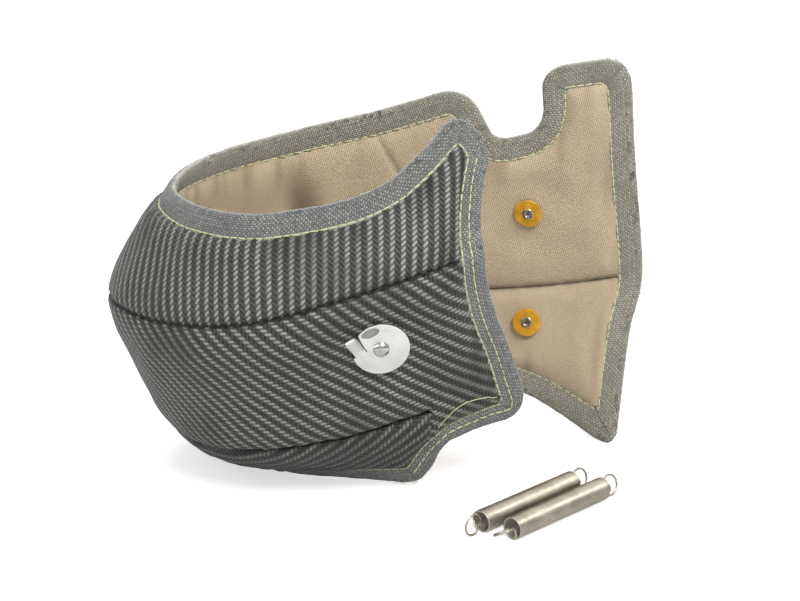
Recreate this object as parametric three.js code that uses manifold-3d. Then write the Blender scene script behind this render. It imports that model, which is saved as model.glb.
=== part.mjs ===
// Turbo heat blanket: a sewn, padded wrap that closes round a turbine housing. Three panels (upper,
// side and lower) are quilted from a woven outer cover, an insulation mat and a tan lining, joined
// along two seams and bound all round with folded tape. Hook washers riveted through the cloth take
// the two extension springs, which lie beside the wrap. Millimetres, +Z up. The origin is under the
// middle of the part, on the surface that it stands on.
import * as THREE from 'three';
import { mergeVertices } from 'three/addons/utils/BufferGeometryUtils.js';
import Module from 'manifold-3d';

const solids = await Module();
solids.setup();

// Cloth, mat and tape
const COVER_CLOTH = 0.9;
const LINING_CLOTH = 0.9;
const MAT_PINCHED = 0.8;
const MAT_LOFT = 9;
const MAT_UNDER_HOOK = 6;
const PUFF_RUN = 14;
const PUFF_MARGIN = 8;
const SEAM_ROLL = 14;
const TAPE_WIDTH = 10.2;
const TAPE_THICKNESS = 0.6;
const PLAY = 0.3;
const TAPE_PLAY = 0.95;
const SEAT_PLAY = 0.6;

// The wrap follows its upper seam through these stations, from the front end round the left bend to
// the rear end. upper and side are how far a panel leans in from upright, in degrees. sideWidth and
// lowerWidth are the widths of the side and lower panels there.
const STATIONS = [
  { at: [54, -42, 112], upper: 28, side: 12, sideWidth: 64, lowerWidth: 40 },
  { at: [18, -57, 103], upper: 27, side: 12, sideWidth: 63.5, lowerWidth: 40 },
  { at: [-20, -64, 92], upper: 25, side: 12, sideWidth: 62, lowerWidth: 39 },
  { at: [-58, -62, 81], upper: 20, side: 14, sideWidth: 58, lowerWidth: 38 },
  { at: [-92, -43, 75], upper: 24, side: 19, sideWidth: 59, lowerWidth: 31 },
  { at: [-114, -12, 73], upper: 29, side: 23, sideWidth: 60, lowerWidth: 23 },
  { at: [-112, 26, 68], upper: 27, side: 22, sideWidth: 56, lowerWidth: 20 },
  { at: [-86, 54, 62], upper: 19, side: 17, sideWidth: 50, lowerWidth: 18 },
  { at: [-48, 66, 57], upper: 12, side: 12, sideWidth: 45, lowerWidth: 17 },
  { at: [-8, 63, 54], upper: 9, side: 8, sideWidth: 42, lowerWidth: 16 },
  { at: [32, 55, 54], upper: 7, side: 6, sideWidth: 44, lowerWidth: 15 },
  { at: [70, 46.5, 59], upper: 5, side: 16, sideWidth: 50, lowerWidth: 15 },
  { at: [108, 38, 67.5], upper: 5, side: 30, sideWidth: 50, lowerWidth: 15 },
];
const LOWER_PANEL_START = 44;
const LOWER_PANEL_END = 396;
const FOLD_RUN = 14;
const REST_HEIGHT = 2;

// Cloth grid and tape steps
const COLUMN_STEP = 20;
const COLUMN_TURN = THREE.MathUtils.degToRad(12);
const COLUMN_TWIST = THREE.MathUtils.degToRad(5);
const ROW_STEP = 14;
const TAPE_STEP = 13;
const TAPE_STEP_LEAST = 2;
const TAPE_TURN = THREE.MathUtils.degToRad(27);
const TAPE_BEND = THREE.MathUtils.degToRad(10);

// Hook washers: s and across are pattern places, measured along and across the upper seam
const HOOKS = [
  { name: 'front', s: 67, across: -23.6 },
  { name: 'rear_upper', s: 423, across: 36.2 },
  { name: 'rear_lower', s: 423.3, across: -15.1 },
];
const DISC_RADIUS = 11.1;
const DISC_THICKNESS = 0.9;
const TONGUE_WIDTH = 4.6;
const TONGUE_LENGTH = 9.4;
const TONGUE_LIFT = 24;
const TONGUE_LEAN = 14;
const TONGUE_FROM_RIM = 3.1;
const TONGUE_ABOVE_MIDDLE = 0.2;
const SLIT_WIDTH = 0.5;
const EYE_FROM_RIM = 1;
const EYE_ASIDE = 2.2;
const EYE_RADII = [3.6, 1.9];
const RIVET_RADIUS = 1.6;
const RIVET_BORE_RADIUS = 1;
const RIVET_BORE_DEPTH = 3;
const RIVET_HEAD_RADIUS = 3.2;
const RIVET_HEAD_HEIGHT = 2.2;
const RIVET_ROLL_RADIUS = 2.2;
const RIVET_ROLL_HEIGHT = 0.6;
const INNER_WASHER_RADIUS = 6;
const INNER_WASHER_THICKNESS = 0.8;

// Springs, lying on the surface beside the wrap
const SPRING_RADIUS = 4.75;
const SPRING_WIRE = 0.9;
const SPRING_LENGTH = 54;
const SPRING_HEADING = 44;
const LOOP_RADIUS = 4.3;
const LOOP_REACH = 3.6;
const SPRINGS = [
  { name: 'spring_front', at: [42.4, -82], tilts: [-30, 75] },
  { name: 'spring_rear', at: [30.8, -76], tilts: [90, 75] },
];

const UP = new THREE.Vector3(0, 0, 1);
const radians = THREE.MathUtils.degToRad;
const smooth = (x) => THREE.MathUtils.smoothstep(x, 0, 1);

// The seam line and the values that change along it
const seamCurve = new THREE.CatmullRomCurve3(
  STATIONS.map((station) => new THREE.Vector3(...station.at)),
  false,
  'catmullrom',
);
seamCurve.arcLengthDivisions = 400;
const seamLength = seamCurve.getLength();

function alongWrap(key) {
  const points = STATIONS.map((station, i) => new THREE.Vector2(i, station[key]));
  const curve = new THREE.SplineCurve(points);
  return (t) => curve.getPoint(t).y;
}
const upperLean = alongWrap('upper');
const sideLean = alongWrap('side');
const sideWidthAt = alongWrap('sideWidth');
const lowerWidthAt = alongWrap('lowerWidth');

// How far the lower panel is folded in at s: none where the side panel overhangs it at both ends
function foldShare(s) {
  const fromFront = smooth((s - LOWER_PANEL_START + FOLD_RUN) / FOLD_RUN);
  const fromRear = smooth((LOWER_PANEL_END + FOLD_RUN - s) / FOLD_RUN);
  return Math.min(fromFront, fromRear);
}

// Everything that the surface needs at the distance s along the seam. The lower panel leans just so
// far that its free edge comes down to the surface that the wrap stands on.
function seamFrame(s) {
  const t = seamCurve.getUtoTmapping(THREE.MathUtils.clamp(s / seamLength, 0, 1));
  const along = seamCurve.getTangent(t);
  const beyond = s - THREE.MathUtils.clamp(s, 0, seamLength);
  const at = seamCurve.getPoint(t).addScaledVector(along, beyond);
  const inward = new THREE.Vector3().crossVectors(along, UP).normalize();
  const upper = radians(upperLean(t));
  const side = radians(sideLean(t));
  const sideWidth = sideWidthAt(t);
  const lowerWidth = lowerWidthAt(t);
  const drop = (at.z - sideWidth * Math.cos(side) - REST_HEIGHT) / lowerWidth;
  const folded = Math.acos(THREE.MathUtils.clamp(drop, 0.05, 0.98));
  const lower = THREE.MathUtils.lerp(side, folded, foldShare(s));
  return { at, along, inward, upper, side, lower, sideWidth, lowerWidth };
}

const leanAcross = (frame, angle, rise) => new THREE.Vector3()
  .addScaledVector(UP, rise * Math.cos(angle))
  .addScaledVector(frame.inward, Math.sin(angle));
const leanNormal = (frame, angle, rise) => new THREE.Vector3()
  .addScaledVector(frame.inward, -Math.cos(angle))
  .addScaledVector(UP, rise * Math.sin(angle));

// A point of the wrap's middle surface and the outward normal there, from pattern coordinates: s
// along the upper seam, across up (positive) or down (negative) from it.
function surfaceAt(s, across) {
  const frame = seamFrame(s);
  const upperNormal = leanNormal(frame, frame.upper, 1);
  const sideNormal = leanNormal(frame, frame.side, -1);
  const lowerNormal = leanNormal(frame, frame.lower, -1);
  const upperRidge = upperNormal.clone().add(sideNormal).normalize();
  const lowerRidge = sideNormal.clone().add(lowerNormal).normalize();
  const below = -across;
  const point = frame.at.clone();
  if (across >= 0) {
    point.addScaledVector(leanAcross(frame, frame.upper, 1), across);
    return { point, normal: upperRidge.lerp(upperNormal, smooth(across / SEAM_ROLL)).normalize(), frame };
  }
  const onSide = Math.min(below, frame.sideWidth);
  point.addScaledVector(leanAcross(frame, frame.side, -1), onSide);
  if (below > frame.sideWidth) {
    const beyond = below - frame.sideWidth;
    point.addScaledVector(leanAcross(frame, frame.lower, -1), beyond);
    return { point, normal: lowerRidge.lerp(lowerNormal, smooth(beyond / SEAM_ROLL)).normalize(), frame };
  }
  const normal = upperRidge.lerp(sideNormal, smooth(below / SEAM_ROLL));
  normal.lerp(lowerRidge, 1 - smooth((frame.sideWidth - below) / SEAM_ROLL)).normalize();
  return { point, normal, frame };
}

// The cut outline of the whole wrap in pattern coordinates
const lowerEdgeAt = (s) => {
  const frame = seamFrame(s);
  return -(frame.sideWidth + frame.lowerWidth);
};

function outlineShape() {
  const shape = new THREE.Shape();
  const curveThrough = (pairs) => shape.splineThru(pairs.map((pair) => new THREE.Vector2(...pair)));
  // Front end, down from the top corner, then the front free edge of the side panel
  shape.moveTo(16, 34);
  curveThrough([[22.3, 20], [25.5, 2], [20, -22], [9.5, -47], [-0.8, -74]]);
  shape.quadraticCurveTo(-2.5, -84.5, 5, -84.8);
  curveThrough([[15, -83.3], [31, -83.4]]);
  // Front end of the lower panel, down to the bottom edge
  shape.quadraticCurveTo(36, -84.5, 38.2, -89);
  shape.lineTo(43, -99);
  shape.quadraticCurveTo(45.5, lowerEdgeAt(50), 54, lowerEdgeAt(54));
  const bottom = [];
  for (let s = 75; s < 370; s += 27) {
    bottom.push([s, lowerEdgeAt(s)]);
  }
  curveThrough(bottom);
  // Rear end of the lower panel, the rear free edge and the low rear corner
  shape.quadraticCurveTo(387, lowerEdgeAt(383), 393, -50);
  shape.quadraticCurveTo(398, -42, 406, -41.8);
  curveThrough([[421, -45.5], [437, -53.8], [458, -68.2]]);
  shape.quadraticCurveTo(467.5, -75, 466.8, -63);
  // Rear end, up to the tab
  curveThrough([[468.3, -25], [471.6, 0], [467.2, 51], [465.2, 80]]);
  shape.quadraticCurveTo(465, 97.5, 452, 98);
  shape.lineTo(440, 98.2);
  shape.quadraticCurveTo(428.6, 98, 428.6, 90);
  shape.lineTo(429, 80);
  shape.quadraticCurveTo(428.5, 69.8, 419, 69.5);
  // Top edge, from the notch over the rear rise, round the left bend and up to the front corner
  shape.quadraticCurveTo(408, 66.5, 405, 73.5);
  shape.lineTo(400.5, 83);
  shape.quadraticCurveTo(396, 91.5, 387, 90.6);
  curveThrough([
    [351, 78.6], [317, 68.8], [284, 62], [250, 57], [215, 53], [180, 49], [150, 45.3], [108, 39.8],
    [80, 36.8], [62, 38], [50, 42.3], [34, 50.4],
  ]);
  shape.quadraticCurveTo(24, 55, 18.5, 45);
  shape.quadraticCurveTo(15.5, 39.5, 16, 34);
  return shape;
}

// Outline points no further apart than step, closer where the outline or the surface turns, and one
// wherever the outline crosses the upper seam
function outlinePoints(step) {
  const fine = outlineShape().getPoints(12);
  const points = [fine[0]];
  const normalAt = ({ x, y }) => surfaceAt(x, y).normal;
  let last = normalAt(fine[0]);
  let travelled = 0;
  let turned = 0;
  for (let i = 1; i + 1 < fine.length; i += 1) {
    const into = new THREE.Vector2().subVectors(fine[i], fine[i - 1]);
    const onward = new THREE.Vector2().subVectors(fine[i + 1], fine[i]);
    if (into.length() < 1e-6 || onward.length() < 1e-6) {
      continue;
    }
    if (fine[i - 1].y < 0 !== fine[i].y < 0) {
      points.push(fine[i - 1].clone().lerp(fine[i], fine[i - 1].y / (fine[i - 1].y - fine[i].y)));
      travelled = 0;
    }
    travelled += into.length();
    turned += Math.acos(THREE.MathUtils.clamp(into.normalize().dot(onward.normalize()), -1, 1));
    const bent = normalAt(fine[i]).angleTo(last);
    if (travelled >= step || turned >= TAPE_TURN || bent >= TAPE_BEND) {
      points.push(fine[i].clone());
      last = normalAt(fine[i]);
      travelled = 0;
      turned = 0;
    }
  }
  const onSeam = (point) => Math.abs(point.y) < 1e-6;
  return points.filter((point, i) => {
    const toBefore = point.distanceTo(points[(i + points.length - 1) % points.length]);
    const after = points[(i + 1) % points.length];
    const crowded = toBefore < TAPE_STEP_LEAST || (onSeam(after) && point.distanceTo(after) < TAPE_STEP_LEAST);
    return onSeam(point) || !crowded;
  });
}

const outline = outlinePoints(TAPE_STEP);

function nearestOnOutline(point) {
  const best = { distance: Infinity, at: new THREE.Vector2() };
  const line = new THREE.Vector2();
  const toPoint = new THREE.Vector2();
  for (let i = 0; i < outline.length; i += 1) {
    const from = outline[i];
    line.subVectors(outline[(i + 1) % outline.length], from);
    toPoint.subVectors(point, from);
    const share = THREE.MathUtils.clamp(toPoint.dot(line) / line.lengthSq(), 0, 1);
    const distance = toPoint.addScaledVector(line, -share).length();
    if (distance < best.distance) {
      best.distance = distance;
      best.at.copy(from).addScaledVector(line, share);
    }
  }
  return best;
}

// Half the mat's thickness: pinched at the tape and in the seams, held down under the hook washers
function matHalf(s, across) {
  const frame = seamFrame(s);
  const fromTape = nearestOnOutline(new THREE.Vector2(s, across)).distance - TAPE_WIDTH - PUFF_MARGIN;
  let fromSeam = Math.abs(across);
  if (s > LOWER_PANEL_START && s < LOWER_PANEL_END) {
    fromSeam = Math.min(fromSeam, Math.abs(across + frame.sideWidth));
  }
  const swell = smooth(Math.min(fromTape, fromSeam) / PUFF_RUN);
  let thickness = THREE.MathUtils.lerp(MAT_PINCHED, MAT_LOFT, swell);
  for (const hook of HOOKS) {
    const fromHook = Math.hypot(s - hook.s, across - hook.across) - DISC_RADIUS;
    const held = THREE.MathUtils.lerp(MAT_UNDER_HOOK, MAT_LOFT, smooth(fromHook / PUFF_RUN));
    thickness = Math.min(thickness, held);
  }
  return thickness / 2;
}

// Solid helpers
function toManifold(geometry) {
  const bare = geometry.clone();
  bare.deleteAttribute('normal');
  bare.deleteAttribute('uv');
  const merged = mergeVertices(bare, 1e-4);
  const triVerts = new Uint32Array(merged.index.array);
  const faceID = new Uint32Array(triVerts.length / 3).map((_, i) => i);
  const vertProperties = new Float32Array(merged.attributes.position.array);
  return new solids.Manifold(new solids.Mesh({ numProp: 3, vertProperties, triVerts, faceID }));
}

function fromManifold(manifold) {
  const mesh = manifold.getMesh();
  const geometry = new THREE.BufferGeometry();
  const places = new Float32Array((mesh.vertProperties.length / mesh.numProp) * 3);
  for (let i = 0; i < places.length / 3; i += 1) {
    for (let axis = 0; axis < 3; axis += 1) {
      places[3 * i + axis] = mesh.vertProperties[mesh.numProp * i + axis];
    }
  }
  geometry.setAttribute('position', new THREE.BufferAttribute(places, 3));
  geometry.setIndex(Array.from(mesh.triVerts));
  return geometry;
}

function loopPrism(points, depth) {
  const geometry = new THREE.ExtrudeGeometry(new THREE.Shape(points), { depth, bevelEnabled: false });
  return toManifold(geometry.translate(0, 0, -depth / 2));
}

// Cloth layers: a flat grid cut to the pattern, then laid onto the wrap's surface. The grid's columns
// lie closer together in the bend.
const RAW_EDGE_INSET = 0.4;
const CUT_DEPTH = 4;
const BEYOND = 10;

function columnPlaces() {
  const places = [-BEYOND];
  let last = seamFrame(-BEYOND);
  for (let s = -BEYOND; s < seamLength + BEYOND; s += 1) {
    const frame = seamFrame(s);
    const turn = frame.inward.angleTo(last.inward);
    const twist = Math.max(...['upper', 'side', 'lower'].map((lean) => Math.abs(frame[lean] - last[lean])));
    if (s - places[places.length - 1] >= COLUMN_STEP || turn >= COLUMN_TURN || twist >= COLUMN_TWIST) {
      places.push(s);
      last = frame;
    }
  }
  places.push(seamLength + BEYOND);
  return places;
}
const COLUMNS = columnPlaces();

function insetOutline(distance) {
  return outline.map((point, i) => {
    const before = outline[(i + outline.length - 1) % outline.length];
    const after = outline[(i + 1) % outline.length];
    const into = new THREE.Vector2().subVectors(point, before).normalize();
    const onward = new THREE.Vector2().subVectors(after, point).normalize();
    const bisector = into.add(onward).normalize();
    return point.clone().add(new THREE.Vector2(-bisector.y, bisector.x).multiplyScalar(distance));
  });
}

const HOLE_RADIUS = RIVET_RADIUS + 2 * PLAY;
const cutEdge = loopPrism(insetOutline(RAW_EDGE_INSET), CUT_DEPTH);
const rivetHoles = HOOKS.map((hook) => {
  const hole = new THREE.CylinderGeometry(HOLE_RADIUS, HOLE_RADIUS, CUT_DEPTH, 10);
  return toManifold(hole.rotateX(Math.PI / 2).translate(hook.s, hook.across, 0));
});

function lowerSeamPoints(clearance) {
  const points = [];
  const inside = COLUMNS.filter((s) => s > LOWER_PANEL_START + 1 && s < LOWER_PANEL_END - 1);
  for (const s of [LOWER_PANEL_START, ...inside, LOWER_PANEL_END]) {
    points.push(new THREE.Vector2(s, -seamFrame(s).sideWidth + clearance));
  }
  points[0].x -= clearance;
  points[points.length - 1].x += clearance;
  return points;
}

const TOP_LIMIT = 115;
const BOTTOM_LIMIT = -125;
const BANDS = {
  upper: { low: PLAY / 2, high: TOP_LIMIT, cut: null },
  side: { low: -90, high: -PLAY / 2, cut: null },
  lower: { low: BOTTOM_LIMIT, high: -40, cut: null },
};

function sideBand() {
  const seam = lowerSeamPoints(PLAY / 2);
  return [
    new THREE.Vector2(-BEYOND, -PLAY / 2),
    new THREE.Vector2(-BEYOND, BOTTOM_LIMIT),
    new THREE.Vector2(seam[0].x, BOTTOM_LIMIT),
    ...seam,
    new THREE.Vector2(seam[seam.length - 1].x, BOTTOM_LIMIT),
    new THREE.Vector2(seamLength + BEYOND, BOTTOM_LIMIT),
    new THREE.Vector2(seamLength + BEYOND, -PLAY / 2),
  ];
}

function lowerBand() {
  const seam = lowerSeamPoints(-PLAY / 2);
  return [
    new THREE.Vector2(seam[0].x, BOTTOM_LIMIT),
    new THREE.Vector2(seam[seam.length - 1].x, BOTTOM_LIMIT),
    ...seam.reverse(),
  ];
}
BANDS.side.cut = loopPrism(sideBand(), CUT_DEPTH);
BANDS.lower.cut = loopPrism(lowerBand(), CUT_DEPTH);

// A panel's flat pattern: its points, its triangles and the edges round it
function flatPanel(band) {
  const height = band.high - band.low;
  const columns = COLUMNS.length - 1;
  const rows = Math.round(height / ROW_STEP);
  const grid = new THREE.BoxGeometry(columns, height, 2, columns, rows, 1);
  grid.translate(columns / 2, (band.high + band.low) / 2, 0);
  const places = grid.attributes.position;
  for (let i = 0; i < places.count; i += 1) {
    places.setX(i, COLUMNS[Math.round(places.getX(i))]);
  }
  let panel = toManifold(grid).intersect(cutEdge);
  if (band.cut) {
    panel = panel.intersect(band.cut);
  }
  for (const hole of rivetHoles) {
    panel = panel.subtract(hole);
  }
  const cut = fromManifold(panel);
  const points = [];
  const order = new Map();
  const triangles = [];
  for (let i = 0; i < cut.index.count; i += 3) {
    const corners = [0, 1, 2].map((corner) => cut.index.getX(i + corner));
    if (corners.some((corner) => cut.attributes.position.getZ(corner) < 0)) {
      continue;
    }
    for (const corner of corners) {
      if (!order.has(corner)) {
        order.set(corner, points.length);
        points.push(new THREE.Vector3().fromBufferAttribute(cut.attributes.position, corner));
      }
    }
    triangles.push(corners.map((corner) => order.get(corner)));
  }
  const edges = triangles.flatMap(([a, b, c]) => [[a, b], [b, c], [c, a]]);
  const known = new Set(edges.map(([from, to]) => `${from} ${to}`));
  const rim = edges.filter(([from, to]) => !known.has(`${to} ${from}`));
  return { points, triangles, rim };
}

// low and high give a layer's two faces as offsets from the middle surface, from half the mat. The
// pattern is drawn as seen from inside the wrap, so its faces are turned over.
function layOnWrap({ points, triangles, rim }, low, high) {
  const faces = [low, high].map((offset) => points.flatMap(({ x, y }) => {
    const { point, normal } = surfaceAt(x, y);
    return point.addScaledVector(normal, offset(matHalf(x, y))).toArray();
  }));
  const above = points.length;
  const index = [];
  for (const [a, b, c] of triangles) {
    index.push(a, b, c, above + c, above + b, above + a);
  }
  for (const [from, to] of rim) {
    index.push(from, above + to, to, from, above + from, above + to);
  }
  const geometry = new THREE.BufferGeometry();
  geometry.setAttribute('position', new THREE.BufferAttribute(new Float32Array(faces.flat()), 3));
  geometry.setIndex(index);
  return geometry;
}

const coverBack = (half) => half + PLAY;
const coverFace = (half) => coverBack(half) + COVER_CLOTH;
const liningBack = (half) => -half - PLAY;
const liningFace = (half) => liningBack(half) - LINING_CLOTH;

// Materials
const finish = (color, roughness, metalness) => new THREE.MeshStandardMaterial({ color, roughness, metalness });
const coverMaterial = finish(0x4a4a47, 0.55, 0.1);
const matMaterial = finish(0xd8d4c8, 0.95, 0);
const liningMaterial = finish(0xc9b794, 0.9, 0);
const tapeMaterial = finish(0x83827c, 0.85, 0);
const steelMaterial = finish(0xd8d8d2, 0.25, 1);
const springMaterial = finish(0xa8a290, 0.35, 1);
const amberMaterial = finish(0xc08a1c, 0.4, 0.2);

const part = new THREE.Group();

function addPart(name, geometry, material) {
  const mesh = new THREE.Mesh(geometry, material);
  mesh.name = name;
  part.add(mesh);
  return mesh;
}

for (const [panel, band] of Object.entries(BANDS)) {
  const flat = flatPanel(band);
  addPart(`cover_${panel}`, layOnWrap(flat, coverBack, coverFace), coverMaterial);
  addPart(`mat_${panel}`, layOnWrap(flat, (half) => -half, (half) => half), matMaterial);
  addPart(`lining_${panel}`, layOnWrap(flat, liningFace, liningBack), liningMaterial);
}

// Edge binding: tape folded over the raw edges. Its inner edge runs TAPE_WIDTH inside the outline and
// comes to a mitre where the outline turns a corner.
function tapeInnerEdge() {
  const inner = insetOutline(TAPE_WIDTH);
  for (let i = 0; i < inner.length; i += 1) {
    for (let pass = 0; pass < 60; pass += 1) {
      const nearest = nearestOnOutline(inner[i]);
      const away = new THREE.Vector2().subVectors(inner[i], nearest.at);
      const missing = TAPE_WIDTH - nearest.distance;
      if (missing < 1e-3) {
        break;
      }
      inner[i].addScaledVector(away.normalize(), missing);
    }
  }
  for (let i = 1; i < inner.length; i += 1) {
    if (inner[i].distanceTo(inner[i - 1]) < 1) {
      inner[i].copy(inner[i - 1]);
    }
  }
  return inner;
}

// One run of tape between two places on the outline, closed at both ends
function tapeRun(stations) {
  const places = [];
  for (const { edge, inner } of stations) {
    const half = coverFace(MAT_PINCHED / 2) + TAPE_PLAY;
    const foot = surfaceAt(edge.x, edge.y);
    const middle = surfaceAt((edge.x + inner.x) / 2, (edge.y + inner.y) / 2);
    const head = surfaceAt(inner.x, inner.y);
    const outwards = foot.point.clone().sub(head.point).normalize();
    const outer = half + TAPE_THICKNESS;
    const section = [
      [head, 0, outer],
      [middle, 0, outer],
      [foot, 0, outer],
      [foot, PLAY + TAPE_THICKNESS, 0],
      [foot, 0, -outer],
      [middle, 0, -outer],
      [head, 0, -outer],
      [head, 0, -half],
      [middle, 0, -half],
      [foot, 0, -half],
      [foot, PLAY, 0],
      [foot, 0, half],
      [middle, 0, half],
      [head, 0, half],
    ];
    for (const [from, out, off] of section) {
      places.push(from.point.clone().addScaledVector(outwards, out).addScaledVector(from.normal, off));
    }
  }
  const ring = places.length / stations.length;
  const faces = [];
  for (let k = 0; k + 1 < stations.length; k += 1) {
    for (let j = 0; j < ring; j += 1) {
      const a = k * ring + j;
      const b = k * ring + ((j + 1) % ring);
      faces.push(a, a + ring, b, b, a + ring, b + ring);
    }
  }
  for (let j = 0; j < ring / 2 - 1; j += 1) {
    const last = (stations.length - 1) * ring;
    const twin = ring - 1 - j;
    faces.push(j, j + 1, twin, twin, j + 1, twin - 1);
    faces.push(last + j, last + twin, last + j + 1, last + twin, last + twin - 1, last + j + 1);
  }
  const geometry = new THREE.BufferGeometry();
  geometry.setAttribute('position', new THREE.BufferAttribute(
    new Float32Array(places.flatMap((place) => place.toArray())),
    3,
  ));
  geometry.setIndex(faces);
  return geometry;
}

// The runs meet at the corners, where the tape is cut and tucked
const TAPE_CORNERS = [
  { name: 'binding_front', at: [23, 51] },
  { name: 'binding_bottom', at: [48, -101] },
  { name: 'binding_rear', at: [388, -56] },
  { name: 'binding_top', at: [462, 94] },
];

function addBinding() {
  const innerEdge = tapeInnerEdge();
  const cornerIndex = TAPE_CORNERS.map(({ at }) => {
    const corner = new THREE.Vector2(...at);
    let best = 0;
    outline.forEach((point, i) => {
      if (point.distanceTo(corner) < outline[best].distanceTo(corner)) {
        best = i;
      }
    });
    return best;
  });
  const floor = new THREE.BoxGeometry(400, 400, 40).translate(0, 0, -20);
  TAPE_CORNERS.forEach(({ name }, run) => {
    const first = cornerIndex[run];
    const last = cornerIndex[(run + 1) % TAPE_CORNERS.length];
    const count = (last - first + outline.length) % outline.length;
    const stations = [];
    for (let i = 0; i <= count; i += 1) {
      const index = (first + i) % outline.length;
      stations.push({ edge: outline[index].clone(), inner: innerEdge[index].clone() });
    }
    const trim = (end, next) => {
      const share = PLAY / 2 / end.edge.distanceTo(next.edge);
      end.edge.lerp(next.edge, share);
      const innerGap = end.inner.distanceTo(next.inner);
      if (innerGap > PLAY) {
        end.inner.lerp(next.inner, PLAY / 2 / innerGap);
      }
    };
    trim(stations[0], stations[1]);
    trim(stations[stations.length - 1], stations[stations.length - 2]);
    const run3d = toManifold(tapeRun(stations)).subtract(toManifold(floor));
    addPart(name, fromManifold(run3d), tapeMaterial);
  });
}
addBinding();

// Hook washer: a disc with a tongue cut loose from its rim and bent up, beside an eye
function discGeometry() {
  const face = new THREE.Shape();
  face.absarc(0, 0, DISC_RADIUS, 0, 2 * Math.PI, false);
  const bore = new THREE.Path();
  bore.absarc(0, 0, RIVET_RADIUS + PLAY, 0, 2 * Math.PI, true);
  const eye = new THREE.Path();
  const eyeRise = DISC_RADIUS - EYE_FROM_RIM - EYE_RADII[1];
  eye.absellipse(-EYE_ASIDE, eyeRise, ...EYE_RADII, 0, 2 * Math.PI, true, radians(-8));
  face.holes.push(bore, eye);
  const plate = new THREE.ExtrudeGeometry(face, {
    depth: DISC_THICKNESS,
    bevelEnabled: false,
    curveSegments: 13,
  });
  const corner = DISC_RADIUS + 1;
  const rootX = TONGUE_FROM_RIM - DISC_RADIUS;
  const clearX = rootX + TONGUE_WIDTH / 2 + SLIT_WIDTH;
  const cleared = new THREE.BoxGeometry(corner, corner, 3 * DISC_THICKNESS);
  cleared.translate(clearX - corner / 2, TONGUE_ABOVE_MIDDLE + SLIT_WIDTH + corner / 2, 0);
  const side = new THREE.Shape();
  const lift = radians(TONGUE_LIFT);
  const rise = [Math.cos(lift) * TONGUE_LENGTH, Math.sin(lift) * TONGUE_LENGTH];
  side.moveTo(-1.2, 0);
  side.lineTo(0.4, 0);
  side.lineTo(rise[0], rise[1]);
  side.lineTo(rise[0] - Math.sin(lift) * DISC_THICKNESS, rise[1] + Math.cos(lift) * DISC_THICKNESS);
  side.lineTo(0.2, DISC_THICKNESS);
  side.lineTo(-1.2, DISC_THICKNESS);
  const tongue = new THREE.ExtrudeGeometry(side, { depth: TONGUE_WIDTH, bevelEnabled: false });
  tongue.translate(0, 0, -TONGUE_WIDTH / 2);
  tongue.rotateX(Math.PI / 2).rotateZ(Math.PI / 2 + radians(TONGUE_LEAN));
  tongue.translate(rootX, TONGUE_ABOVE_MIDDLE, 0);
  return fromManifold(toManifold(plate).subtract(toManifold(cleared)).add(toManifold(tongue)));
}

function turned(profile, segments) {
  const points = profile.map(([radius, height]) => new THREE.Vector2(radius, height));
  return new THREE.LatheGeometry(points, segments).rotateX(Math.PI / 2);
}

function rivetGeometry(seat, tail) {
  const head = seat + DISC_THICKNESS + PLAY;
  const roll = tail - INNER_WASHER_THICKNESS - PLAY;
  return turned([
    [0, roll - RIVET_ROLL_HEIGHT + RIVET_BORE_DEPTH],
    [RIVET_BORE_RADIUS, roll - RIVET_ROLL_HEIGHT + RIVET_BORE_DEPTH],
    [RIVET_BORE_RADIUS, roll - RIVET_ROLL_HEIGHT],
    [RIVET_ROLL_RADIUS, roll - RIVET_ROLL_HEIGHT * 0.6],
    [RIVET_ROLL_RADIUS, roll],
    [RIVET_RADIUS, roll],
    [RIVET_RADIUS, head],
    [RIVET_HEAD_RADIUS, head],
    [RIVET_HEAD_RADIUS, head + RIVET_HEAD_HEIGHT * 0.3],
    [RIVET_HEAD_RADIUS * 0.75, head + RIVET_HEAD_HEIGHT * 0.8],
    [0, head + RIVET_HEAD_HEIGHT],
  ], 12);
}

function innerWasherGeometry() {
  const bore = RIVET_RADIUS + PLAY;
  return turned([
    [bore, 0],
    [INNER_WASHER_RADIUS, 0],
    [INNER_WASHER_RADIUS, INNER_WASHER_THICKNESS],
    [bore, INNER_WASHER_THICKNESS],
    [bore, 0],
  ], 18);
}

// How far a face of the cloth stands off the plane through the rivet, at its highest under a round
// piece of this radius
function seatHeight(hook, radius, face, sign) {
  const { point, normal } = surfaceAt(hook.s, hook.across);
  let height = 0;
  for (let ring = 0; ring <= 2; ring += 1) {
    for (let step = 0; step < 12; step += 1) {
      const angle = (step * Math.PI) / 6;
      const s = hook.s + ((radius * ring) / 2) * Math.cos(angle);
      const across = hook.across + ((radius * ring) / 2) * Math.sin(angle);
      const place = surfaceAt(s, across);
      place.point.addScaledVector(place.normal, face(matHalf(s, across)));
      height = Math.max(height, sign * place.point.sub(point).dot(normal));
    }
  }
  return sign * (height + SEAT_PLAY);
}

for (const hook of HOOKS) {
  const { point, normal, frame } = surfaceAt(hook.s, hook.across);
  const right = frame.along.clone().negate();
  right.addScaledVector(normal, -right.dot(normal)).normalize();
  const upwards = new THREE.Vector3().crossVectors(normal, right);
  const turn = new THREE.Matrix4().makeBasis(right, upwards, normal);
  const seat = seatHeight(hook, DISC_RADIUS, coverFace, 1);
  const tail = seatHeight(hook, INNER_WASHER_RADIUS, liningFace, -1);
  const pieces = [
    [`hook_disc_${hook.name}`, discGeometry(), steelMaterial, seat],
    [`rivet_${hook.name}`, rivetGeometry(seat, tail), steelMaterial, 0],
    [`inner_washer_${hook.name}`, innerWasherGeometry(), amberMaterial, tail - INNER_WASHER_THICKNESS],
  ];
  for (const [name, geometry, material, off] of pieces) {
    const mesh = addPart(name, geometry, material);
    mesh.quaternion.setFromRotationMatrix(turn);
    mesh.position.copy(point).addScaledVector(normal, off);
  }
}

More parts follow.
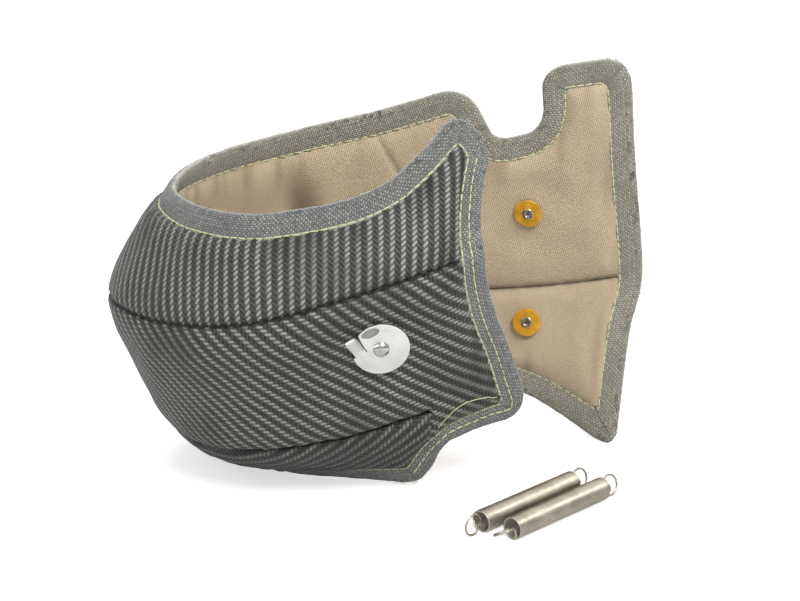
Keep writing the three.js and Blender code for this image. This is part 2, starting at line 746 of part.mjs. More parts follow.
// Extension springs: a close-wound body, drawn as a tube, with a loop of the same wire at each end
function springGeometry(tilts) {
  const bore = SPRING_RADIUS - SPRING_WIRE;
  const tube = new THREE.LatheGeometry([
    new THREE.Vector2(bore, 0),
    new THREE.Vector2(SPRING_RADIUS, 0),
    new THREE.Vector2(SPRING_RADIUS, SPRING_LENGTH),
    new THREE.Vector2(bore, SPRING_LENGTH),
    new THREE.Vector2(bore, 0),
  ], 18);
  tube.rotateZ(-Math.PI / 2);
  let spring = toManifold(tube);
  tilts.forEach((tilt, end) => {
    const loop = new THREE.TorusGeometry(LOOP_RADIUS, SPRING_WIRE / 2, 6, 18);
    const outwards = end ? 1 : -1;
    const mouth = end ? SPRING_LENGTH : 0;
    loop.rotateX(radians(tilt)).translate(mouth + outwards * LOOP_REACH, 0, 0);
    const neckLength = SPRING_RADIUS - SPRING_WIRE / 2;
    const neck = new THREE.CylinderGeometry(SPRING_WIRE / 2, SPRING_WIRE / 2, neckLength, 6);
    neck.translate(0, -neckLength / 2, 0).rotateX(radians(tilt));
    neck.translate(mouth + outwards * (LOOP_REACH - LOOP_RADIUS), 0, 0);
    spring = spring.add(toManifold(loop)).add(toManifold(neck));
  });
  return fromManifold(spring);
}

for (const spring of SPRINGS) {
  const mesh = addPart(spring.name, springGeometry(spring.tilts), springMaterial);
  mesh.rotation.z = radians(SPRING_HEADING);
  mesh.position.set(spring.at[0], spring.at[1], SPRING_RADIUS);
}

const bounds = new THREE.Box3().setFromObject(part, true);
part.position.set(-(bounds.min.x + bounds.max.x) / 2, -(bounds.min.y + bounds.max.y) / 2, 0);

export default part;
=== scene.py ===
import math
import bmesh
import bpy
import numpy as np
from mathutils import Matrix, Vector, noise
from mathutils.geometry import delaunay_2d_cdt


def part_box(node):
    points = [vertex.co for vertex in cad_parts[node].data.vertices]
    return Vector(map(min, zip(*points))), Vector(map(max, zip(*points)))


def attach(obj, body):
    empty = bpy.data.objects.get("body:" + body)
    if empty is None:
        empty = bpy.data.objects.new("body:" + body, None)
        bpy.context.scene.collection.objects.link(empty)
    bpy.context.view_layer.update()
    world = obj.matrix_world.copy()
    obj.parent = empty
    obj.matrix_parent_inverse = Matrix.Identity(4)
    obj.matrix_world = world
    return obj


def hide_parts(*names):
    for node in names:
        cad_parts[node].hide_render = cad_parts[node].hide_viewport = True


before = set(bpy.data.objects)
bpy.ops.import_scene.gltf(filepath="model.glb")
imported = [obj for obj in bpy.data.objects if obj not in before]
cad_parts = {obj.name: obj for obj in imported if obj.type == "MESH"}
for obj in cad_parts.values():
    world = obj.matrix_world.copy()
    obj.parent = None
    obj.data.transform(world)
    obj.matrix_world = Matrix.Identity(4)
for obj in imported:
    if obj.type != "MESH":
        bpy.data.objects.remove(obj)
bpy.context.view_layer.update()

# The pattern that the wrap is cut to, in millimetres: s runs along the upper seam from the front end
# round the left bend to the rear end, and across runs up or down from that seam. Each station gives
# the seam's place, how far the upper and side panels lean in, and the side and lower panels' widths.
STATIONS = np.array([
    (54, -42, 112, 28, 12, 64, 40),
    (18, -57, 103, 27, 12, 63.5, 40),
    (-20, -64, 92, 25, 12, 62, 39),
    (-58, -62, 81, 20, 14, 58, 38),
    (-92, -43, 75, 24, 19, 59, 31),
    (-114, -12, 73, 29, 23, 60, 23),
    (-112, 26, 68, 27, 22, 56, 20),
    (-86, 54, 62, 19, 17, 50, 18),
    (-48, 66, 57, 12, 12, 45, 17),
    (-8, 63, 54, 9, 8, 42, 16),
    (32, 55, 54, 7, 6, 44, 15),
    (70, 46.5, 59, 5, 16, 50, 15),
    (108, 38, 67.5, 5, 30, 50, 15),
], float)
LOWER_PANEL = (44, 396)
FOLD_RUN = 14
REST_HEIGHT = 2
SEAM_ROLL = 14
MM = 0.001


def smooth(x):
    x = np.clip(x, 0, 1)
    return x * x * (3 - 2 * x)


def through(points, t, open_ends):
    """The curve through the points for t from 0 to 1, and its slope."""
    first, last = points[0], points[-1]
    if open_ends:
        first, last = 2 * points[0] - points[1], 2 * points[-1] - points[-2]
    padded = np.concatenate([[first], points, [last]])
    place = np.asarray(t) * (len(points) - 1)
    i = np.clip(np.floor(place).astype(int), 0, len(points) - 2)
    w = (place - i)[..., None] if padded.ndim > 1 else place - i
    before, start, end, after = (padded[i + k] for k in range(4))
    leave, arrive = (end - before) / 2, (after - start) / 2
    cubic = 2 * start - 2 * end + leave + arrive
    square = -3 * start + 3 * end - 2 * leave - arrive
    return ((cubic * w + square) * w + leave) * w + start, (3 * cubic * w + 2 * square) * w + leave


fine_t = np.linspace(0, 1, 4001)
fine_seam = through(STATIONS[:, :3], fine_t, True)[0]
fine_length = np.concatenate([[0], np.cumsum(np.linalg.norm(np.diff(fine_seam, axis=0), axis=1))])
SEAM_LENGTH = fine_length[-1]
SHIFT = np.zeros(3)


def widths(s):
    t = np.interp(s, fine_length, fine_t)
    return through(STATIONS[:, 5], t, False)[0], through(STATIONS[:, 6], t, False)[0]


def unit(v):
    return v / np.maximum(np.linalg.norm(v, axis=-1, keepdims=True), 1e-12)


def surface(s, across):
    """Points of the wrap's middle surface, in millimetres, and the outward normals there."""
    s, across = np.broadcast_arrays(np.asarray(s, float), np.asarray(across, float))
    t = np.interp(s, fine_length, fine_t)
    at, slope = through(STATIONS[:, :3], t, True)
    along = unit(slope)
    at = at + along * (s - np.clip(s, 0, SEAM_LENGTH))[..., None]
    inward = unit(np.stack([along[..., 1], -along[..., 0], 0 * t], -1))
    upper, side = (np.radians(through(STATIONS[:, k], t, False)[0]) for k in (3, 4))
    side_width, lower_width = widths(s)
    drop = (at[..., 2] - side_width * np.cos(side) - REST_HEIGHT) / lower_width
    start, end = LOWER_PANEL
    fold = np.minimum(smooth((s - start + FOLD_RUN) / FOLD_RUN), smooth((end + FOLD_RUN - s) / FOLD_RUN))
    lower = side + (np.arccos(np.clip(drop, 0.05, 0.98)) - side) * fold
    up = np.array([0, 0, 1.0])

    def across_way(angle, rise):
        return up * (rise * np.cos(angle))[..., None] + inward * np.sin(angle)[..., None]

    def facing(angle, rise):
        return -inward * np.cos(angle)[..., None] + up * (rise * np.sin(angle))[..., None]

    upper_face, side_face, lower_face = facing(upper, 1), facing(side, -1), facing(lower, -1)
    upper_ridge, lower_ridge = unit(upper_face + side_face), unit(side_face + lower_face)
    on_upper = np.maximum(across, 0)[..., None]
    on_side = np.clip(-across, 0, side_width)[..., None]
    on_lower = np.maximum(-across - side_width, 0)[..., None]
    point = at + across_way(upper, 1) * on_upper + across_way(side, -1) * on_side
    point = point + across_way(lower, -1) * on_lower
    normal = upper_ridge + (side_face - upper_ridge) * smooth(on_side / SEAM_ROLL)
    from_lower_seam = smooth((side_width[..., None] - on_side) / SEAM_ROLL)
    normal = normal + (lower_ridge - normal) * (1 - from_lower_seam)
    beyond = lower_ridge + (lower_face - lower_ridge) * smooth(on_lower / SEAM_ROLL)
    above = upper_ridge + (upper_face - upper_ridge) * smooth(on_upper / SEAM_ROLL)
    normal = np.where(on_lower > 0, beyond, normal)
    normal = unit(np.where(on_upper > 0, above, normal))
    return point + SHIFT, normal


# Where the hook washers are riveted on. A washer's middle is on the line through its rivet, so one
# inner washer of the frame also shows where the pattern's origin lies in it.
HOOKS = {"front": (67, -23.6), "rear_upper": (423, 36.2), "rear_lower": (423.3, -15.1)}
HOOK_RADIUS = 11.1


def middle_of(node):
    low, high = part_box(node)
    return np.array([(a + b) / 2 for a, b in zip(low, high)]) / MM


hook_at, hook_normal = surface(*HOOKS["front"])
washer_at = middle_of("inner_washer_front")
SHIFT = washer_at - hook_at - hook_normal * ((washer_at[2] - hook_at[2]) / hook_normal[2])


# The cut outline of the wrap, drawn on the pattern: curved runs through points, and rounded corners.
def lower_edge(s):
    side_width, lower_width = widths(s)
    return -float(side_width + lower_width)


OUTLINE = [
    ("through", (22.3, 20), (25.5, 2), (20, -22), (9.5, -47), (-0.8, -74)),
    ("corner", (-2.5, -84.5), (5, -84.8)),
    ("through", (15, -83.3), (31, -83.4)),
    ("corner", (36, -84.5), (38.2, -89)),
    ("line", (43, -99)),
    ("corner", (45.5, lower_edge(50)), (54, lower_edge(54))),
    ("through", *((s, lower_edge(s)) for s in range(75, 370, 27))),
    ("corner", (387, lower_edge(383)), (393, -50)),
    ("corner", (398, -42), (406, -41.8)),
    ("through", (421, -45.5), (437, -53.8), (458, -68.2)),
    ("corner", (467.5, -75), (466.8, -63)),
    ("through", (468.3, -25), (471.6, 0), (467.2, 51), (465.2, 80)),
    ("corner", (465, 97.5), (452, 98)),
    ("line", (440, 98.2)),
    ("corner", (428.6, 98), (428.6, 90)),
    ("line", (429, 80)),
    ("corner", (428.5, 69.8), (419, 69.5)),
    ("corner", (408, 66.5), (405, 73.5)),
    ("line", (400.5, 83)),
    ("corner", (396, 91.5), (387, 90.6)),
    ("through", (351, 78.6), (317, 68.8), (284, 62), (250, 57), (215, 53), (180, 49), (150, 45.3),
     (108, 39.8), (80, 36.8), (62, 38), (50, 42.3), (34, 50.4)),
    ("corner", (24, 55), (18.5, 45)),
    ("corner", (15.5, 39.5), (16, 34)),
]
OUTLINE_STEP = 1.6


def evenly(points, step, closed):
    """The polyline's points, set evenly along it."""
    points = np.asarray(points, float)
    if closed:
        points = np.concatenate([points, points[:1]])
    run = np.concatenate([[0], np.cumsum(np.linalg.norm(np.diff(points, axis=0), axis=1))])
    count = max(2, int(round(run[-1] / step)))
    places = np.linspace(0, run[-1], count + 1)
    if closed:
        places = places[:-1]
    return np.stack([np.interp(places, run, points[:, k]) for k in range(points.shape[1])], -1)


drawn = [np.array([16.0, 34.0])]
for kind, *stops in OUTLINE:
    stops = np.array([drawn[-1], *stops], float)
    w = np.linspace(0, 1, 200)[1:, None]
    if kind == "through":
        drawn.extend(through(stops, w[:, 0], False)[0])
    elif kind == "corner":
        drawn.extend((1 - w) ** 2 * stops[0] + 2 * w * (1 - w) * stops[1] + w**2 * stops[2])
    else:
        drawn.extend(stops[0] + (stops[1] - stops[0]) * w)
outline = evenly(drawn[:-1], OUTLINE_STEP, True)


def nearest(points):
    """How far each point is from the outline, and the outline's place nearest to it."""
    start = outline
    way = np.roll(outline, -1, axis=0) - start
    length = (way**2).sum(1)
    far, place = np.empty(len(points)), np.empty((len(points), 2))
    for k in range(0, len(points), 2000):
        part = points[k:k + 2000, None] - start
        share = np.clip((part * way).sum(-1) / length, 0, 1)
        gap = part - share[..., None] * way
        squared = (gap**2).sum(-1)
        best = squared.argmin(1)
        row = np.arange(len(best))
        far[k:k + 2000] = np.sqrt(squared[row, best])
        place[k:k + 2000] = points[k:k + 2000] - gap[row, best]
    return far, place


tangent = unit(np.roll(outline, -1, axis=0) - np.roll(outline, 1, axis=0))
inwards = np.stack([-tangent[:, 1], tangent[:, 0]], -1)


def inset(distance):
    """The outline drawn that far inside itself. Where it turns sharply, the points gather in a mitre."""
    line = outline + inwards * distance
    if distance <= 0:
        return line
    for _ in range(40):
        far, place = nearest(line)
        short = far < distance - 0.01
        if not short.any():
            break
        line[short] += unit(line[short] - place[short]) * (distance - far[short])[:, None]
    return line


# Outer cover, three panels of dark carbon-look glass cloth in a two-by-two twill, cut to the pattern,
# laid over the mat and pulled down into two seams and under the tape.
CLOTH_STEP = 1.7
CLOTH_BEYOND = 20
CLOTH_ACROSS = (-120, 110)
CLOTH_WALL = 0.6
CLOTH_LOWEST = 0.4
EDGE_INSET = 1.2
TAPE_REACH = 10.2
LOFT = 9
LOFT_PINCHED = 0.8
LOFT_UNDER_HOOK = 6
HOOK_RUN = 14
TAPE_RUN = 13
SEAM_RUN = 15
SEAM_DEPTH = 0.06
SEAM_TAIL = 12
CLOTH_OFF = 1.0


def lower_seam(s):
    return -widths(s)[0]


def flat_cloth():
    """The whole pattern as flat triangles, with edges along its outline and both seams."""
    rim = evenly(inset(EDGE_INSET), CLOTH_STEP, True)
    s = np.arange(-CLOTH_BEYOND, SEAM_LENGTH + CLOTH_BEYOND, CLOTH_STEP)
    on_lower = np.clip(s, *LOWER_PANEL)
    upper_line = np.stack([s, 0 * s], -1)
    near_lower = (s > LOWER_PANEL[0] - SEAM_TAIL) & (s < LOWER_PANEL[1] + SEAM_TAIL)
    lower_line = np.stack([s, lower_seam(on_lower)], -1)[near_lower]
    rows = np.arange(*CLOTH_ACROSS, CLOTH_STEP)
    grid = np.stack(np.meshgrid(s, rows), -1).reshape(-1, 2)
    far, _ = nearest(grid)
    clear = CLOTH_STEP * 0.55
    keep = (far > EDGE_INSET + clear) & (np.abs(grid[:, 1]) > clear)
    keep &= np.abs(grid[:, 1] - lower_seam(np.clip(grid[:, 0], *LOWER_PANEL))) > clear
    grid = grid[keep]
    points, edges = [], []
    for line, closed in ((rim, True), (upper_line, False), (lower_line, False)):
        first = len(points)
        points.extend(map(Vector, line.tolist()))
        edges.extend((first + k, first + k + 1) for k in range(len(line) - 1))
        if closed:
            edges.append((first + len(line) - 1, first))
    rim_face = list(range(len(rim)))
    points.extend(map(Vector, grid.tolist()))
    places, _, faces, *_ = delaunay_2d_cdt(points, edges, [rim_face], 1, 1e-4)
    return np.array([tuple(p) for p in places]), np.array([f for f in faces if len(f) == 3])


cloth_at, cloth_faces = flat_cloth()
from_edge, _ = nearest(cloth_at)


def from_seams(at):
    """How far each place is from the nearest seam."""
    gap = np.abs(at[:, 1])
    has_lower = (at[:, 0] > LOWER_PANEL[0]) & (at[:, 0] < LOWER_PANEL[1])
    return np.where(has_lower, np.minimum(gap, np.abs(at[:, 1] - lower_seam(at[:, 0]))), gap)


def wander(at, size, seed):
    """Slow, even noise over the pattern, from -1 to 1."""
    return np.array([noise.noise(Vector((x / size, y / size, seed))) for x, y in at])


def creases(at, lean, flat, size, seed):
    """The same noise drawn out into creases across the panel, which lean along it."""
    return wander(np.stack([at[:, 0] + lean * at[:, 1], at[:, 1] * flat], -1), size, seed)


def hump(x):
    return np.exp(-(x**2))


def rounded(x):
    x = np.clip(x, 0, 1)
    return np.sqrt(1 - (1 - x) ** 2)


def half_loft(at, edge):
    """Half the quilt's thickness: pinched at tape and seams, rounded between, held down by the hooks."""
    at_seam = SEAM_DEPTH + (1 - SEAM_DEPTH) * rounded(from_seams(at) / SEAM_RUN)
    swell = np.minimum(rounded((edge - TAPE_REACH + 1) / TAPE_RUN), at_seam)
    thickness = LOFT_PINCHED + (LOFT - LOFT_PINCHED) * swell
    for hook in HOOKS.values():
        gap = np.hypot(at[:, 0] - hook[0], at[:, 1] - hook[1]) - HOOK_RADIUS
        held = LOFT_UNDER_HOOK + (LOFT - LOFT_UNDER_HOOK) * smooth(gap / HOOK_RUN)
        thickness = np.minimum(thickness, held)
    return thickness / 2


def freedom(half):
    """From 0, where the quilt is pinched, to about 1, where it swells freely."""
    return (half - LOFT_PINCHED / 2) / (LOFT / 2)


def held_by_tape(edge):
    """Most where the cloth comes out from under the tape."""
    return hump((edge - TAPE_REACH - 4) / 6)


def panel_of(at):
    """0 on the upper panel, 1 on the side panel, 2 on the lower one."""
    below = at[..., 1] < lower_seam(np.clip(at[..., 0], *LOWER_PANEL))
    inside = (at[..., 0] > LOWER_PANEL[0]) & (at[..., 0] < LOWER_PANEL[1])
    return np.where(at[..., 1] > 0, 0, np.where(below & inside, 2, 1))


def unrolled(from_line, to_line):
    """The strip between two lines on the wrap, rolled out flat: where each line comes to lie."""
    a, b = [np.zeros(2)], [np.array([0.0, np.linalg.norm(to_line[0] - from_line[0])])]

    def placed(p, q, to_p, to_q, side):
        base = np.linalg.norm(q - p)
        way = (q - p) / base
        along = (to_p**2 - to_q**2 + base**2) / (2 * base)
        off = math.sqrt(max(to_p**2 - along**2, 0))
        return p + way * along + side * off * np.array([way[1], -way[0]])

    def gap(p, q):
        return float(np.linalg.norm(p - q))

    for k in range(1, len(from_line)):
        here, there = from_line[k], to_line[k]
        next_a = placed(a[-1], b[-1], gap(here, from_line[k - 1]), gap(here, to_line[k - 1]), 1)
        next_b = placed(b[-1], next_a, gap(there, to_line[k - 1]), gap(there, here), -1)
        a.append(next_a)
        b.append(next_b)
    return np.array(a), np.array(b)


STRIP_STEP = 3.0
UPPER_STRIP = 60
STRAIGHT_AT = 95
strip_s = np.arange(-SEAM_TAIL, SEAM_LENGTH + SEAM_TAIL, STRIP_STEP)
strip_side, strip_lower = widths(strip_s)
STRIPS = []
for low_line, high_line in (
    (0 * strip_s, 0 * strip_s + UPPER_STRIP),
    (0 * strip_s, -strip_side),
    (-strip_side, -strip_side - strip_lower),
):
    first, second = surface(strip_s, low_line)[0], surface(strip_s, high_line)[0]
    STRIPS.append((low_line, high_line, *unrolled(first, second)))


def cloth_uv(at, panel):
    """Places on the flat cloth in metres, turned so that across is upright at STRAIGHT_AT."""
    low_line, high_line, first, second = STRIPS[panel]
    low = np.interp(at[:, 0], strip_s, low_line)
    high = np.interp(at[:, 0], strip_s, high_line)
    share = ((at[:, 1] - low) / (high - low))[:, None]
    a = np.stack([np.interp(at[:, 0], strip_s, first[:, k]) for k in (0, 1)], -1)
    b = np.stack([np.interp(at[:, 0], strip_s, second[:, k]) for k in (0, 1)], -1)
    flat = a + (b - a) * share
    k = np.searchsorted(strip_s, STRAIGHT_AT)
    way = unit(second[k] - first[k])
    if panel:
        way = -way
    right = np.array([way[1], -way[0]])
    return np.stack([flat @ right, flat @ way], -1) * MM


def new_object(name, points, faces, uv=None):
    """A piece from points in millimetres, its faces, and a place on the cloth for each point."""
    mesh = bpy.data.meshes.new(name)
    mesh.from_pydata((np.asarray(points) * MM).tolist(), [], [list(map(int, f)) for f in faces])
    if uv is not None:
        corner = np.empty(len(mesh.loops), dtype=np.int32)
        mesh.loops.foreach_get("vertex_index", corner)
        layer = mesh.uv_layers.new(name="UVMap")
        layer.data.foreach_set("uv", np.asarray(uv, np.float32)[corner].ravel())
    mesh.shade_smooth()
    piece = bpy.data.objects.new(name, mesh)
    bpy.context.collection.objects.link(piece)
    return piece


def deselect():
    for other in bpy.context.selected_objects:
        other.select_set(False)


def active(piece):
    deselect()
    piece.select_set(True)
    bpy.context.view_layer.objects.active = piece


def thicken(piece, thickness):
    active(piece)
    wall = piece.modifiers.new("wall", "SOLIDIFY")
    wall.thickness = thickness * MM
    wall.offset = -1
    bpy.ops.object.modifier_apply(modifier=wall.name)


def node(tree, kind, *inputs, **settings):
    """A new node's first output: an input that is a socket is linked, any other is typed in."""
    made = tree.nodes.new("ShaderNode" + kind)
    for key, value in settings.items():
        setattr(made, key, value)
    for k, value in enumerate(inputs):
        if isinstance(value, bpy.types.NodeSocket):
            tree.links.new(value, made.inputs[k])
        elif value is not None:
            made.inputs[k].default_value = value
    return made.outputs[0]


def sums(tree, operation, *inputs):
    return node(tree, "Math", *inputs, operation=operation)


def mixed(tree, share, first, second):
    made = tree.nodes.new("ShaderNodeMix")
    made.data_type = "RGBA"
    for k, value in ((0, share), (6, first), (7, second)):
        if isinstance(value, bpy.types.NodeSocket):
            tree.links.new(value, made.inputs[k])
        else:
            made.inputs[k].default_value = (*value, 1) if k and len(value) == 3 else value
    return made.outputs[2]


def ranged(tree, value, low, high, to_low=0.0, to_high=1.0):
    return node(tree, "MapRange", value, low, high, to_low, to_high)


def eased(tree, value, low, high, to_low=0.0, to_high=1.0):
    return node(tree, "MapRange", value, low, high, to_low, to_high, interpolation_type="SMOOTHSTEP")


def blotches(tree, scale, detail=2):
    """Cloudy noise that stays with the object."""
    made = node(tree, "TexNoise", node(tree, "TexCoord").node.outputs["Object"])
    made.node.inputs["Scale"].default_value = scale
    made.node.inputs["Detail"].default_value = detail
    return made


def group(name, inputs, outputs):
    """A new node group with named inputs and outputs, its input node and its output node."""
    tree = bpy.data.node_groups.new(name, "ShaderNodeTree")
    for label, kind in inputs:
        tree.interface.new_socket(name=label, in_out="INPUT", socket_type="NodeSocket" + kind)
    for label, kind in outputs:
        tree.interface.new_socket(name=label, in_out="OUTPUT", socket_type="NodeSocket" + kind)
    return tree, tree.nodes.new("NodeGroupInput"), tree.nodes.new("NodeGroupOutput")


def use(tree, made_group, **values):
    placed = tree.nodes.new("ShaderNodeGroup")
    placed.node_tree = made_group
    for label, value in values.items():
        socket = placed.inputs[label.replace("_", " ")]
        if isinstance(value, bpy.types.NodeSocket):
            tree.links.new(value, socket)
        else:
            socket.default_value = value
    return placed.outputs


def material(name, **shader_values):
    """A material with its Principled shader's plain values set, and its tree and shader."""
    made = bpy.data.materials.new(name)
    made.use_nodes = True
    shader = made.node_tree.nodes["Principled BSDF"]
    for label, value in shader_values.items():
        shader.inputs[label.replace("_", " ")].default_value = value
    return made, made.node_tree, shader


def feed(tree, shader, **sockets):
    for label, socket in sockets.items():
        tree.links.new(socket, shader.inputs[label.replace("_", " ")])


def raised(tree, height, distance, strength=1.0):
    bump = tree.nodes.new("ShaderNodeBump")
    bump.inputs["Strength"].default_value = strength
    bump.inputs["Distance"].default_value = distance
    tree.links.new(height, bump.inputs["Height"])
    return bump.outputs["Normal"]


def build_weave(name, over, slip):
    """Yarns over and under each other: each float spans `over` yarns and steps by one each row."""
    tree, given, out = group(
        name,
        [("Place", "Vector"), ("Yarn", "Float"), ("Turn", "Float")],
        [(label, "Float") for label in ("Warp", "Height", "Float Tone", "Hairs", "Rib")],
    )
    place = node(tree, "VectorRotate", given.outputs["Place"], rotation_type="Z_AXIS")
    tree.links.new(given.outputs["Turn"], place.node.inputs["Angle"])
    scaled = node(tree, "VectorMath", place, operation="SCALE")
    per_yarn = sums(tree, "DIVIDE", 1.0, given.outputs["Yarn"])
    tree.links.new(per_yarn, scaled.node.inputs["Scale"])
    apart = node(tree, "SeparateXYZ", scaled).node.outputs
    x, y = apart[0], apart[1]
    column, row = sums(tree, "FLOOR", x), sums(tree, "FLOOR", y)
    repeat = 2.0 * over
    lag = float(over - 1) if slip else 0.0
    warp_place = sums(tree, "ADD", sums(tree, "SUBTRACT", y, column), lag)
    weft_place = sums(tree, "SUBTRACT", sums(tree, "SUBTRACT", x, row), float(over) if slip else 1.0)
    warp_run = sums(tree, "FLOORED_MODULO", warp_place, repeat)
    weft_run = sums(tree, "FLOORED_MODULO", weft_place, repeat)
    warp = sums(tree, "LESS_THAN", warp_run, float(over))
    run = node(tree, "Mix", warp, None, weft_run, warp_run)
    side = node(tree, "Mix", warp, None, sums(tree, "FRACT", y), sums(tree, "FRACT", x))

    def arched(value, span, power):
        centred = sums(tree, "SUBTRACT", sums(tree, "MULTIPLY", value, 2.0 / span), 1.0)
        return sums(tree, "SUBTRACT", 1.0, sums(tree, "POWER", sums(tree, "ABSOLUTE", centred), power))

    arch, crown = arched(run, over, 2.5), arched(side, 1.0, 2.0)
    lifted = sums(tree, "MULTIPLY_ADD", arch, 0.65, 0.35)
    height = sums(tree, "MULTIPLY", lifted, crown)
    which = node(tree, "Mix", warp, None, row, column)
    place_in_repeat = node(tree, "Mix", warp, None, weft_place, warp_place)
    turn = sums(tree, "FLOOR", sums(tree, "DIVIDE", place_in_repeat, repeat))
    mark = node(tree, "CombineXYZ", which, turn, warp)
    tone = node(tree, "TexWhiteNoise", mark, noise_dimensions="3D")
    along_hair = sums(tree, "MULTIPLY", run, 0.5)
    hair_place = node(tree, "CombineXYZ", sums(tree, "MULTIPLY", side, 9.0), along_hair, which)
    hairs = node(tree, "TexNoise", hair_place)
    hairs.node.inputs["Scale"].default_value = 1.0
    ridge = sums(tree, "ADD", sums(tree, "SUBTRACT", y, x), lag + 0.5 - over / 2)
    ridge = sums(tree, "MULTIPLY", ridge, 2 * math.pi / repeat)
    rib = sums(tree, "MULTIPLY_ADD", sums(tree, "COSINE", ridge), 0.5, 0.5)
    made = {"Warp": warp, "Height": height, "Float Tone": tone, "Hairs": hairs, "Rib": rib}
    for label, socket in made.items():
        tree.links.new(socket, out.inputs[label])
    return tree


twill = build_weave("twill", 2, True)
plain = build_weave("plain_weave", 1, False)

COVER_YARN = 1.45 * MM
COVER_DARK = (0.016, 0.0162, 0.0145)
COVER_LIGHT = (0.285, 0.285, 0.26)
SEAM_SHADE = (0.006, 0.006, 0.005)


def cover_finish(name, turn, bright):
    """Carbon-look twill: the warp floats' crowns are painted light as a highlight, the weft lies dark
    between them.
    """
    made, tree, shader = material(
        name, Roughness=0.5, Specular_IOR_Level=0.3, Sheen_Weight=0.06, Sheen_Roughness=0.5
    )
    place = node(tree, "UVMap")
    woven = use(tree, twill, Place=place, Yarn=COVER_YARN, Turn=turn)
    worn = blotches(tree, 28, 3)
    lit = sums(tree, "MULTIPLY_ADD", woven["Float Tone"], 0.6, 0.7)
    lit = sums(tree, "MULTIPLY", lit, sums(tree, "MULTIPLY_ADD", woven["Hairs"], 0.6, 0.7))
    # The panel's painted light scales the painted highlight, so the lower panel is painted in shade.
    lit = sums(tree, "MULTIPLY", lit, ranged(tree, worn, 0.32, 0.68, 0.15 * bright, 1.6 * bright))
    # Painted highlight on each float's crown, where its height peaks.
    crown_highlight = eased(tree, woven["Height"], 0.35, 0.97)
    lit = sums(tree, "MULTIPLY", lit, crown_highlight)
    share = sums(tree, "MULTIPLY", lit, sums(tree, "MULTIPLY_ADD", woven["Warp"], 0.72, 0.12))
    # Painted light and shade across the wales: the ribs are painted lighter, the grooves between them
    # darker.
    share = sums(tree, "MULTIPLY_ADD", sums(tree, "POWER", woven["Rib"], 1.4), 0.2 + 0.12 * bright, share)
    shade = node(tree, "Attribute", attribute_name="shade").node.outputs["Fac"]
    colour = mixed(tree, shade, mixed(tree, share, COVER_DARK, COVER_LIGHT), SEAM_SHADE)
    feed(tree, shader, Base_Color=colour, Normal=raised(tree, woven["Height"], 0.00035, 0.8),
         Roughness=ranged(tree, woven["Hairs"], 0.0, 1.0, 0.38, 0.62))
    return made


def smallest_sheet(flat):
    """Width and length of the smallest straight-edged sheet that the flat panel can be cut from."""
    best = None
    for angle in np.radians(np.arange(0, 180, 3)):
        turned = flat @ np.array([[math.cos(angle), -math.sin(angle)], [math.sin(angle), math.cos(angle)]])
        size = turned.max(0) - turned.min(0)
        if best is None or size.prod() < best.prod():
            best = size
    return tuple(sorted(float(side) for side in best))


def fold_shade(at, edge):
    """Painted shade: the cloth is painted black in the seams, and in the tucks where the tape holds down."""
    broken = 0.75 + 0.6 * wander(at, 2.2, 40.5)
    by_seam = hump(from_seams(at) / 0.95) * broken
    by_tape = hump(np.maximum(edge - TAPE_REACH, 0) / 9)
    tuck = creases(at, 0, 0.12, 5.5, 21.3)
    deep = np.maximum(by_seam, by_tape * (0.1 + 1.1 * np.maximum(-tuck, 0)))
    return np.clip(deep, 0, 1)


def cloth_layer(name, panel, off, finish, shaded=fold_shade):
    """One panel of cloth: its triangles of the pattern, laid at the height that off gives."""
    middles = cloth_at[cloth_faces].mean(1)
    faces = cloth_faces[panel_of(middles) == panel]
    used, faces = np.unique(faces, return_inverse=True)
    faces = faces.reshape(-1, 3)
    at = cloth_at[used]
    point, normal = surface(at[:, 0], at[:, 1])
    height = off(at, from_edge[used])
    laid = point + normal * height[:, None]
    laid[:, 2] = np.maximum(laid[:, 2], CLOTH_LOWEST)
    faces = faces[:, ::-1] if height.mean() > 0 else faces
    flat = cloth_uv(at, panel)
    piece = new_object(name, laid, faces, flat)
    piece.data.materials.append(finish)
    shade = piece.data.attributes.new("shade", "FLOAT", "POINT")
    shade.data.foreach_set("value", shaded(at, from_edge[used]).astype(np.float32))
    corners = cloth_at[used][faces]
    sides = corners[:, 1:] - corners[:, :1]
    area = np.abs(sides[:, 0, 0] * sides[:, 1, 1] - sides[:, 0, 1] * sides[:, 1, 0]).sum() / 2
    thicken(piece, CLOTH_WALL)
    return piece, smallest_sheet(flat), area * MM**2


def cover_height(at, edge):
    """The cover swells between its seams, wanders a little, and is gathered in small folds along them."""
    half = half_loft(at, edge)
    free = freedom(half)
    by_seam = hump((from_seams(at) - 2.5) / 3.5)
    tuck = creases(at, 0, 0.12, 5.5, 21.3)
    fold = creases(at, 0.5, 0.3, 16, 5.9)
    swing = 0.8 * wander(at, 26, 3.1) + 0.6 * fold + 0.2 * wander(at, 8, 7.7)
    gathered = 0.75 * tuck * (held_by_tape(edge) * free + 0.6 * by_seam)
    return half + CLOTH_OFF + free * swing + gathered


PANELS = ("upper", "side", "lower")
COVER_TURN = (-45, 81, 5)
# How light each panel is painted for the light it gets: the lower panel, facing down, is painted in shade.
COVER_PAINTED_LIGHT = (1.04, 0.94, 0.4)
for k, panel in enumerate(PANELS):
    finish = cover_finish(f"cover_twill_{panel}", math.radians(COVER_TURN[k]), COVER_PAINTED_LIGHT[k])
    piece, size, area = cloth_layer(f"cover_cloth_{panel}", k, cover_height, finish)
    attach(piece, "root")
    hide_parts(f"cover_{panel}", f"mat_{panel}")


# Lining, the same three panels in plain tan silica cloth on the hot side, sewn into the same seams.
LINING_YARN = 0.8 * MM
LINING_LIGHT = (0.66, 0.53, 0.36)
LINING_DARK = (0.34, 0.262, 0.165)
LINING_SHADE = (0.125, 0.075, 0.032)
LINING_TURN = 3


